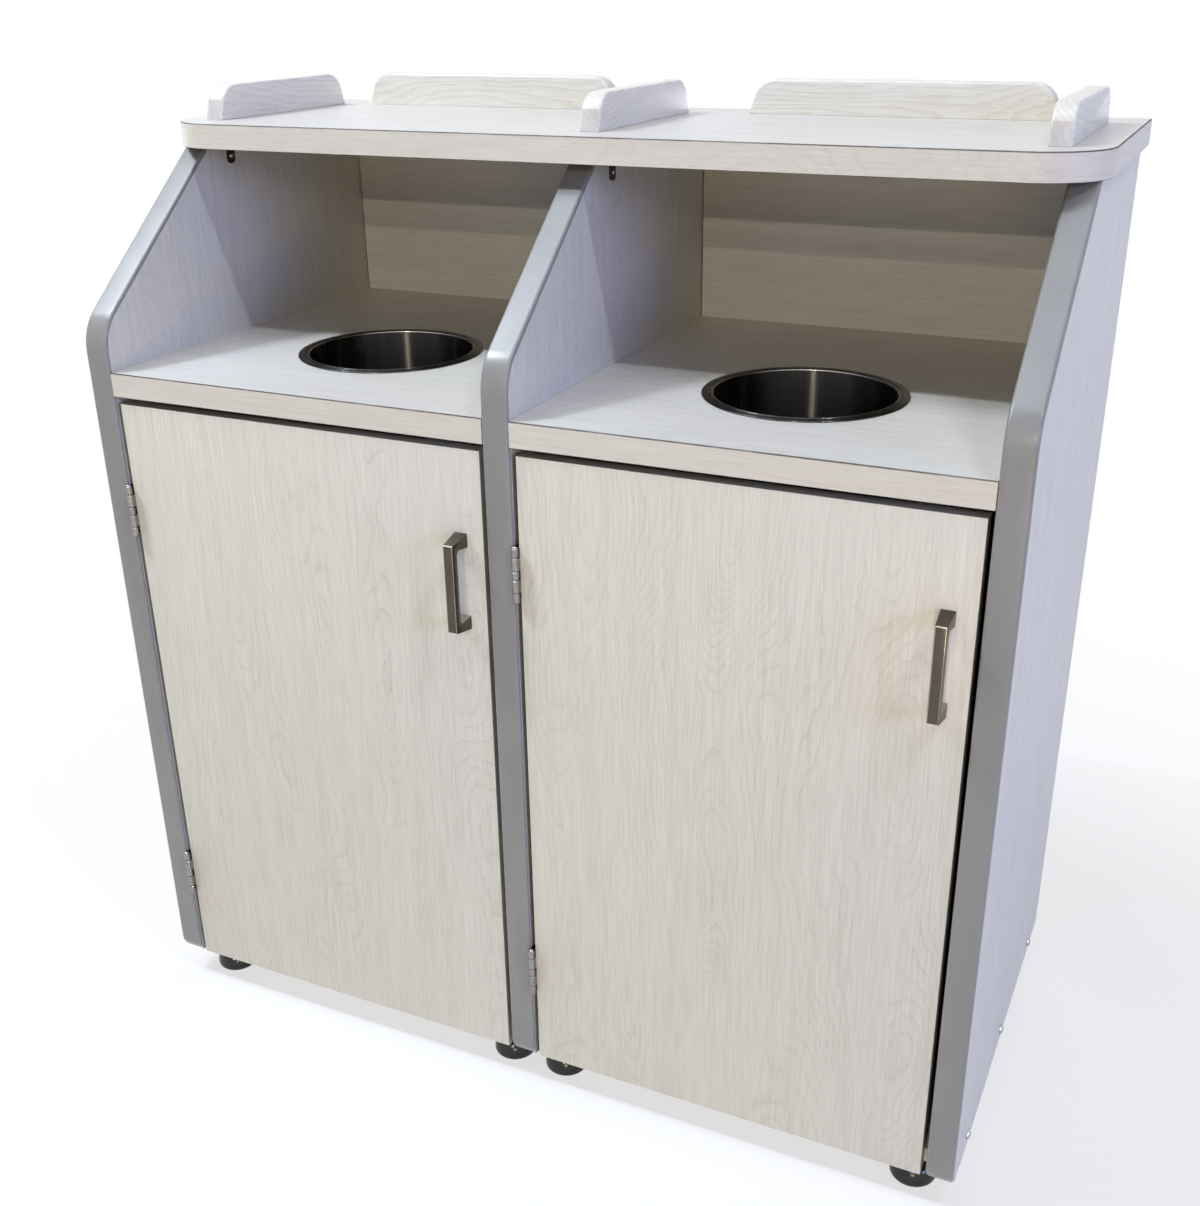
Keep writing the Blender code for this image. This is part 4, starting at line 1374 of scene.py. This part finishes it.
@dataclass
class GapSeal:
    """A grey PVC strip in the gap beside a door's hinges."""

    bay: Bay
    thickness: float = 0.0013
    depth: float = 0.015
    inset: float = 0.001
    clear: float = 0.003
    eased: float = 0.0004

    def build(self) -> BMesh:
        """Models the strip in three lengths, clear of the hinges.

        Returns:
            Its mesh, in place.
        """
        low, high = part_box(self.bay.value + "_door")
        hinges = [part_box(f"{self.bay.value}_{level.value}_hinge_frame_leaf") for level in Level]
        face = hinges[0][0].x
        ends = [z for h in hinges for z in (h[0].z - self.clear, h[1].z + self.clear)]
        stops = [low.z, *ends, high.z]
        bm = bmesh.new()
        for bottom, top in zip(stops[::2], stops[1::2]):
            add_block(
                bm, (face, low.y + self.inset, bottom),
                (face + self.thickness, low.y + self.depth, top), self.eased)
        return bm

    def dress(self) -> None:
        """Adds the strip in grey PVC."""
        add_piece(self.bay.value + "_gap_seal", self.build(), (SEAL_GREY,))


@dataclass
class DoorCatch:
    """A magnetic catch under the deck: plastic case, two steel poles, two screws."""

    bay: Bay
    ear: float = 0.009
    ear_foot: float = 0.7
    front: tuple[float, float] = (0.0004, 0.003)  # set-back of case and ears
    back: float = 0.002
    eased: tuple[float, float] = (0.0012, 0.001)  # case, ears
    poles_at: tuple[float, ...] = (0.005, 0.012)
    pole: tuple[float, float, float] = (0.012, 0.003, 0.0016)  # inset, depth, height
    pole_eased: float = 0.0002
    screw: tuple[float, float] = (0.003, 0.0016)  # radius, height

    def build(self) -> BMesh:
        """Models the catch.

        Returns:
            Its mesh: case 0, poles 1, screws 2.
        """
        low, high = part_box(self.bay.value + "_door_catch")
        ears = low.z + self.ear_foot * (high.z - low.z)
        inset, reach, height = self.pole
        bm = bmesh.new()
        add_block(
            bm, (low.x + self.ear, low.y + self.front[0], low.z),
            (high.x - self.ear, high.y, high.z), self.eased[0], 3)
        add_block(
            bm, (low.x, low.y + self.front[1], ears), (high.x, high.y - self.back, high.z),
            self.eased[1])
        for z in self.poles_at:
            pole = add_block(
                bm, (low.x + inset, low.y, low.z + z),
                (high.x - inset, low.y + reach, low.z + z + height), self.pole_eased, 1)
            paint_faces(faces_of(pole), 1)
        for x in (low.x + self.ear / 2, high.x - self.ear / 2):
            add_screw(bm, (x, (low.y + high.y) / 2, ears), Facing.DOWN, self.screw, 2)
        return bm

    def dress(self) -> None:
        """Adds the catch."""
        node = self.bay.value + "_door_catch"
        add_piece(
            node + "_case", self.build(), (CATCH_BLACK, HINGE_STEEL, ZINC),
            nodes=(node,))


@dataclass
class Glide:
    """A domed black glide on a threaded stem."""

    node: str
    edge: float = 0.006
    dome: float = 0.030
    neck: float = 0.009
    collar: float = 0.0006
    hollow: tuple[float, float, float] = (0.010, 0.0095, 0.0008)  # inner and outer inset, depth
    stem: float = 0.006
    sunk: float = 0.001
    thread: tuple[float, float] = (0.00125, 0.0006)  # pitch, depth
    flank: tuple[float, float] = (0.0003, 0.0009)  # height of crest and root in a pitch
    steps: int = 48
    stem_steps: int = 24

    def build(self) -> BMesh:
        """Turns the dome and the threaded stem.

        Returns:
            Its mesh: dome 0, stem 1.
        """
        low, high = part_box(self.node)
        radius = (high.x - low.x) / 2
        inner, outer, lift = self.hollow
        pitch, depth = self.thread
        bm = bmesh.new()
        profile = [(0, lift), (radius - inner, lift), (radius - outer, 0)]
        profile += arc((radius - self.edge, self.edge), self.edge, -90, 0, 6)
        profile += [
            (self.neck + (radius - self.neck) * x, self.edge + (self.dome - self.edge) * z)
            for x, z in arc((0, 0), 1.0, 6, 84, 13)]
        profile += [(self.neck + self.collar, self.dome), (0, self.dome)]
        turn(bm, profile, self.steps)
        root, foot = self.stem - depth, self.dome - self.sunk
        screw = [(0, foot), (self.stem, foot)]
        for i in range(int((high.z - self.dome) / pitch)):
            z = self.dome + i * pitch
            screw += [(self.stem, z + self.flank[0]), (root, z + self.flank[1])]
        screw += [(root, high.z), (0, high.z)]
        paint_faces(faces_of(turn(bm, screw, self.stem_steps)), 1)
        move(bm, Matrix.Translation(((low.x + high.x) / 2, (low.y + high.y) / 2, low.z)))
        return bm

    def dress(self) -> None:
        """Adds the glide in black nylon on a zinc stem."""
        add_piece(
            self.node + "_glide", self.build(), (GLIDE_BLACK, ZINC),
            nodes=(self.node,))


@dataclass
class SideBolt:
    """A pan-head bolt through a side panel, with a hexagon socket."""

    node: str
    facing: int
    head: float = 0.0065
    rise: float = 0.0035
    # The head's profile, in shares of its radius and rise
    dome: tuple[Point, ...] = ((1.0, 0.0), (1.0, 0.25), (0.96, 0.5), (0.82, 0.8), (0.6, 0.96))
    socket: float = 0.0021
    socket_corner: float = 1.16
    socket_edge: tuple[float, float] = (0.0002, 0.0003)  # in, down
    socket_floor: tuple[float, float] = (0.35, 0.25)  # shares of the rise: rim, middle
    shank: float = 0.003
    tip: tuple[float, float] = (0.0005, 0.0006)  # in, up
    steps: int = 24

    def build(self) -> BMesh:
        """Turns the head and shank and forms the socket.

        Returns:
            Its mesh, in place.
        """
        low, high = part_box(self.node)
        rise = self.rise
        length = high.x - low.x - rise
        wide = self.socket * self.socket_corner
        mouth = wide - self.socket_edge[0]
        profile = [(0, -length), (self.shank - self.tip[0], -length)]
        profile += [(self.shank, self.tip[1] - length), (self.shank, 0)]
        profile += [(self.head * r, rise * z) for r, z in self.dome]
        profile += [(wide, rise), (mouth, rise - self.socket_edge[1])]
        profile += [(mouth, self.socket_floor[0] * rise), (0, self.socket_floor[1] * rise)]
        bm = bmesh.new()
        turn(bm, profile, self.steps)
        for vert in bm.verts:
            if 0 < vert.co.xy.length < wide + NEAR and vert.co.z > 0:
                angle = math.atan2(vert.co.y, vert.co.x) % (math.pi / 3) - math.pi / 6
                vert.co.xy = vert.co.xy.normalized() * (self.socket / math.cos(angle))
        seat = high.x - rise if self.facing > 0 else low.x + rise
        place = Matrix.Translation((seat, (low.y + high.y) / 2, (low.z + high.z) / 2))
        move(bm, place @ Matrix.Rotation(self.facing * math.pi / 2, 4, "Y"))
        return bm

    def dress(self) -> None:
        """Adds the bolt in bright zinc."""
        add_piece(self.node + "_socket_head", self.build(), (ZINC,), nodes=(self.node,))


@dataclass
class TopBracket:
    """A folded steel angle that ties the top to a panel, with a screw in each leg."""

    node: str
    facing: int
    thickness: float = 0.002
    fold: float = 0.0015
    fold_steps: int = 4
    end: float = 0.0056
    end_steps: int = 8
    screw: tuple[float, float] = (0.0034, 0.0018)  # radius, height
    screw_at: float = 0.64

    def build(self) -> BMesh:
        """Folds the angle and adds its screws.

        Returns:
            Its mesh: angle 0, screws 1.
        """
        low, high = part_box(self.node)
        leg = high.z - low.z
        half = (high.y - low.y) / 2
        thick = self.thickness
        bm = bmesh.new()
        outline = ((0, 0), (leg, 0), (leg, -thick), (thick, -thick), (thick, -leg), (0, -leg))
        face_through(bm, [(x, -half, z) for x, z in outline])
        fold = [v for v in bm.verts if abs(v.co.x - thick) < NEAR and abs(v.co.z + thick) < NEAR]
        round_corners(bm, fold, self.fold, self.fold_steps)
        push(bm, bm.faces[:], (0, 2 * half, 0))
        tips = edges_where(bm, lambda p: p.x > leg - NEAR) + edges_where(bm, lambda p: p.z < NEAR - leg)
        tips = [e for e in tips if abs(e.verts[0].co.y - e.verts[1].co.y) < NEAR]
        ease(bm, tips, self.end, self.end_steps)
        reach = self.screw_at * leg
        add_screw(bm, (thick, 0, -reach), Facing.RIGHT, self.screw, 1)
        add_screw(bm, (reach, 0, -thick), Facing.DOWN, self.screw, 1)
        corner = low.x if self.facing > 0 else high.x
        turned = Matrix.Rotation(0 if self.facing > 0 else math.pi, 4, "Z")
        move(bm, Matrix.Translation((corner, (low.y + high.y) / 2, high.z)) @ turned)
        return bm

    def dress(self) -> None:
        """Adds the bracket in dark steel with bright screws."""
        add_piece(
            self.node + "_angle", self.build(), (DARK_STEEL, ZINC), nodes=(self.node,))


@dataclass
class WasteBin:
    """A tapered plastic bin with round corners, a rolled rim and moulded bands."""

    bay: Bay
    corner: float = 0.050
    corner_steps: int = 10
    taper: float = 0.030
    wall: float = 0.003
    heel: tuple[float, float, float] = (0.002, 0.0015, 0.006)  # out, up, where the wall starts
    bands: tuple[float, ...] = (0.26, 0.30)
    band: tuple[Point, ...] = ((0, 0), (0.002, 0.003), (0.002, 0.010), (0, 0.013))  # out, up
    rim_width: float = 0.012
    rim_height: float = 0.018
    rim_edge: float = 0.001
    rim: tuple[Point, ...] = ((0, 0.004), (0.0012, 0.0012), (0.004, 0))  # in, down
    lip: tuple[Point, ...] = ((0.003, 0), (0.0008, 0.0009), (0, 0.003))  # in, down
    floor: tuple[Point, ...] = ((-0.004, 0.008), (0.002, 0))  # in, up

    def rings(self, height: float) -> list[tuple[float, float]]:
        """The shell's rings from the foot over the rim to the floor inside.

        Args:
            height: The bin's height.

        Returns:
            For each ring, how far it lies inside the rim, and its height.
        """
        neck, foot = self.rim_width, self.rim_width + self.taper
        under = height - self.rim_height
        edge, bulge, heel = self.heel

        def lean(z: float) -> float:
            """Inset of the tapered wall at a height."""
            return foot + (neck - foot) * z / under

        made = [(foot - edge, bulge), (lean(heel), heel)]
        for start in self.bands:
            made += [(lean(start) - out, start + up) for out, up in self.band]
        made += [(neck, under), (self.rim_edge, under), (0, under + self.rim_edge)]
        made += [(inset, height - drop) for inset, drop in self.rim]
        made += [(neck + self.wall - inset, height - drop) for inset, drop in self.lip]
        return made + [(foot + self.wall + inset, self.wall + up) for inset, up in self.floor]

    def build(self) -> BMesh:
        """Draws the bin up from its foot, over the rim and down inside.

        Returns:
            Its mesh, in place.
        """
        low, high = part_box(self.bay.value + "_waste_bin")
        middle = (low + high) / 2
        last = self.rim_width + self.taper
        foot = Vector(((high.x - low.x) / 2 - last, (high.y - low.y) / 2 - last, 0))
        bm = bmesh.new()
        add_sheet(bm, -foot, foot)
        round_corners(bm, bm.verts[:], self.corner, self.corner_steps)
        faces = bm.faces[:]
        for inset, z in self.rings(high.z - low.z):
            faces = push(bm, faces, (0, 0, 0))
            out = last - inset
            for vert in {v for f in faces for v in f.verts}:
                vert.co.x += out if vert.co.x > 0 else -out
                vert.co.y += out if vert.co.y > 0 else -out
                vert.co.z = z
            last = inset
        open_inside(bm)
        move(bm, Matrix.Translation((middle.x, middle.y, low.z)))
        return bm

    def dress(self) -> None:
        """Adds the bin in charcoal polyethylene."""
        node = self.bay.value + "_waste_bin"
        add_piece(node + "_shell", self.build(), (BIN_GREY,), nodes=(node,))


@dataclass(frozen=True)
class Lamp:
    """A soft box, by its place, the point it faces, its size and its share of the light."""

    name: str
    place: tuple[float, float, float]
    aim: tuple[float, float, float]
    size: tuple[float, float]
    share: float
    colour: str

    def add(self) -> None:
        """Adds the lamp; a share of 1 renders a facing surface at its own colour."""
        data = bpy.data.lights.new(self.name, "AREA")
        data.shape = "RECTANGLE"
        data.size, data.size_y = self.size
        way = Vector(self.aim) - Vector(self.place)
        data.energy = self.share * math.pi ** 2 * way.length_squared
        data.color = linear(self.colour)[:3]
        lamp = bpy.data.objects.new(self.name, data)
        lamp.location = self.place
        lamp.rotation_euler = way.to_track_quat("-Z", "Y").to_euler()
        bpy.context.scene.collection.objects.link(lamp)


@dataclass
class Studio:
    """Pale floor, soft light and the camera."""

    room: str = "#F6F8FF"
    ambient: float = 0.01
    floor: str = "#F2F1EE"
    floor_size: float = 40.0
    shadow: float = 0.35
    shadow_reach: tuple[float, float] = (0.7, 1.7)
    image: tuple[int, int] = (1200, 1206)
    eye: tuple[float, float, float] = (0.7169, -1.5276, 1.3010)
    yaw: float = -0.4388
    pitch: float = 0.4261
    roll: float = -0.0137
    far: float = 100.0
    sensor: float = 36.0
    focal: float = 1421.23
    middle: tuple[float, float] = (605.95, 626.44)
    lamps: tuple[Lamp, ...] = (
        Lamp("row_left", (-2.2, -1.21, 4.1), (-2.2, -0.05, 0.88), (0.6, 0.10), 0.77, "#E6F0FF"),
        Lamp("row_right", (2.0, -1.21, 4.1), (2.0, -0.05, 0.88), (0.8, 0.10), 0.38, "#E6F0FF"),
        Lamp("row_rear", (0.6, 0.81, 4.1), (0.6, -0.05, 0.88), (2.4, 0.10), 0.06, "#FFF6F0"),
        Lamp("row_front", (1.2, -7.9, 4.18), (0.3, -0.27, 0.90), (0.25, 0.10), 0.09, "#FFF3DC"),
        Lamp("row_far", (1.6, -10.7, 4.18), (0.3, -0.27, 0.90), (0.3, 0.12), 0.13, "#FFF3DC"),
        Lamp("ceiling", (-2.45, -0.76, 4.15), (-2.45, -0.5, 0.88), (3.5, 1.0), 1.02, "#E6F0FF"),
        Lamp("ceiling_right", (0.1, -0.76, 4.15), (0.1, -0.5, 0.88), (1.4, 1.0), 0.16, "#E6F0FF"),
        Lamp("low_right", (0.9, -2.5, 0.31), (0.0, -0.27, 0.70), (0.5, 0.3), 0.135, "#FFE2AC"),
        Lamp("side", (6.0, -2.3, 2.3), (0.4, 0.0, 0.9), (2.4, 2.0), 0.45, "#A5B6FF"),
        Lamp("left_fill", (-3.4, 0.6, 0.9), (-0.55, 0.0, 0.6), (1.6, 1.2), 0.08, "#F4F6FF"),
        Lamp("rear_fill", (-0.6, 3.4, 0.60), (0.0, 0.3, 0.55), (2.4, 0.9), 0.60, "#FBFAFF"),
    )

    def seen_white(self, tree: Tree) -> Node:
        """A value of 1 for rays that show the background, straight, in metal or through glass.

        Args:
            tree: The tree that takes the nodes.

        Returns:
            The node that gives the value.
        """
        path = add_node(tree, "LightPath").outputs
        glossy = add_node(
            tree, "Math", {"operation": "MAXIMUM"},
            {0: path["Is Glossy Ray"], 1: path["Is Transmission Ray"]})
        return add_node(
            tree, "Math", {"operation": "MAXIMUM"}, {0: path["Is Camera Ray"], 1: glossy})

    def add_floor(self) -> None:
        """A pale floor that shows white and keeps the object's shadow."""
        bm = bmesh.new()
        bmesh.ops.create_grid(bm, x_segments=1, y_segments=1, size=self.floor_size / 2)
        mesh = bpy.data.meshes.new("studio_floor")
        bm.to_mesh(mesh)
        bm.free()
        material = bpy.data.materials.new("white_studio_floor")
        material.use_nodes = True
        tree = material.node_tree
        tree.nodes.clear()
        paint = add_node(tree, "BsdfDiffuse", inputs={"Color": linear(self.floor)})
        glow = add_node(tree, "Emission", inputs={"Color": (1, 1, 1, 1), "Strength": 1.0})
        place = add_node(tree, "TexCoord").outputs["Object"]
        away = add_node(tree, "VectorMath", {"operation": "LENGTH"}, {0: place})
        white = add_node(
            tree, "MapRange", {"interpolation_type": "SMOOTHSTEP"},
            {"Value": away, "From Min": self.shadow_reach[0], "From Max": self.shadow_reach[1],
             "To Min": 1 - self.shadow, "To Max": 1.0})
        share = add_node(
            tree, "Math", {"operation": "MULTIPLY"}, {0: self.seen_white(tree), 1: white})
        both = add_node(tree, "MixShader", inputs={0: share, 1: paint, 2: glow})
        add_node(tree, "OutputMaterial", inputs={"Surface": both})
        mesh.materials.append(material)
        floor = bpy.data.objects.new("studio_floor", mesh)
        bpy.context.scene.collection.objects.link(floor)

    def add_world(self) -> None:
        """A soft room that shows white."""
        world = bpy.data.worlds.new("studio_room")
        world.use_nodes = True
        tree = world.node_tree
        tree.nodes.clear()
        soft = add_node(
            tree, "Background", inputs={"Color": linear(self.room), "Strength": self.ambient})
        white = add_node(tree, "Background", inputs={"Color": (1, 1, 1, 1), "Strength": 1.0})
        both = add_node(tree, "MixShader", inputs={0: self.seen_white(tree), 1: soft, 2: white})
        add_node(tree, "OutputWorld", inputs={"Surface": both})
        bpy.context.scene.world = world

    def add_camera(self) -> None:
        """The camera at the photograph's view."""
        forward = Vector((
            math.sin(self.yaw) * math.cos(self.pitch), math.cos(self.yaw) * math.cos(self.pitch),
            -math.sin(self.pitch)))
        right = Vector((math.cos(self.yaw), -math.sin(self.yaw), 0))
        up = right.cross(forward)
        rolled = math.cos(self.roll) * right + math.sin(self.roll) * up
        upright = math.cos(self.roll) * up - math.sin(self.roll) * right
        width, height = self.image
        data = bpy.data.cameras.new("photo_view")
        data.sensor_width = self.sensor
        data.lens = self.focal * data.sensor_width / height
        data.shift_x = (width / 2 - self.middle[0]) / height
        data.shift_y = (self.middle[1] - height / 2) / height
        data.clip_end = self.far
        camera = bpy.data.objects.new("photo_view", data)
        camera.matrix_world = Matrix.Translation(self.eye) @ Matrix(
            (rolled, upright, -forward)).transposed().to_4x4()
        bpy.context.scene.collection.objects.link(camera)
        bpy.context.scene.camera = camera

    def build(self) -> None:
        """Adds floor, room, lamps and camera."""
        bpy.context.scene.view_settings.view_transform = "Standard"
        self.add_floor()
        self.add_world()
        for lamp in self.lamps:
            lamp.add()
        self.add_camera()


# Where in the printed figure each bay's back board, deck and door are cut
BOARD_SEEDS = {Bay.LEFT: (5.2, 2.2, 0.9), Bay.RIGHT: (6.4, 3.5, 4.3)}
# Each guide's name, the way it runs and where in the figure it is cut
GUIDES = (
    ("left", Along.Y, 0.4), ("centre", Along.Y, 1.1), ("right", Along.Y, 1.9),
    ("left_rear", Along.X, 2.6), ("right_rear", Along.X, 3.2))


def main() -> None:
    """Builds the receptacle's pieces in order, then the studio."""
    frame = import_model()
    logging.basicConfig(level=logging.INFO, format="%(message)s")
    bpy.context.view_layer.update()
    Carcass(frame).dress()
    TopBoard().dress()
    for upright in Upright:
        EdgeMoulding(upright).dress()
    for name, runs, seed in GUIDES:
        TrayGuide(name, runs, seed).dress()
    for bay in Bay:
        back_seed, deck_seed, door_seed = BOARD_SEEDS[bay]
        outward = -1 if bay is Bay.LEFT else 1
        BackBoard(bay, back_seed).dress()
        Deck(bay, deck_seed).dress()
        ChuteRing(bay).dress()
        Door(bay, door_seed).dress()
        BowHandle(bay).dress()
        GapSeal(bay).dress()
        DoorCatch(bay).dress()
        WasteBin(bay).dress()
        for level in Level:
            ButtHinge(bay, level).dress()
        for row in ("front", "rear"):
            for column in ("outer", "inner"):
                Glide(f"{bay.value}_{row}_{column}_foot").dress()
        for row in ("front", "middle", "rear"):
            SideBolt(f"{bay.value}_{row}_bolt", outward).dress()
        TopBracket(bay.value + "_outer_top_bracket", -outward).dress()
        TopBracket(bay.value + "_inner_top_bracket", outward).dress()
    Studio().build()


if __name__ == "__main__":
    main()
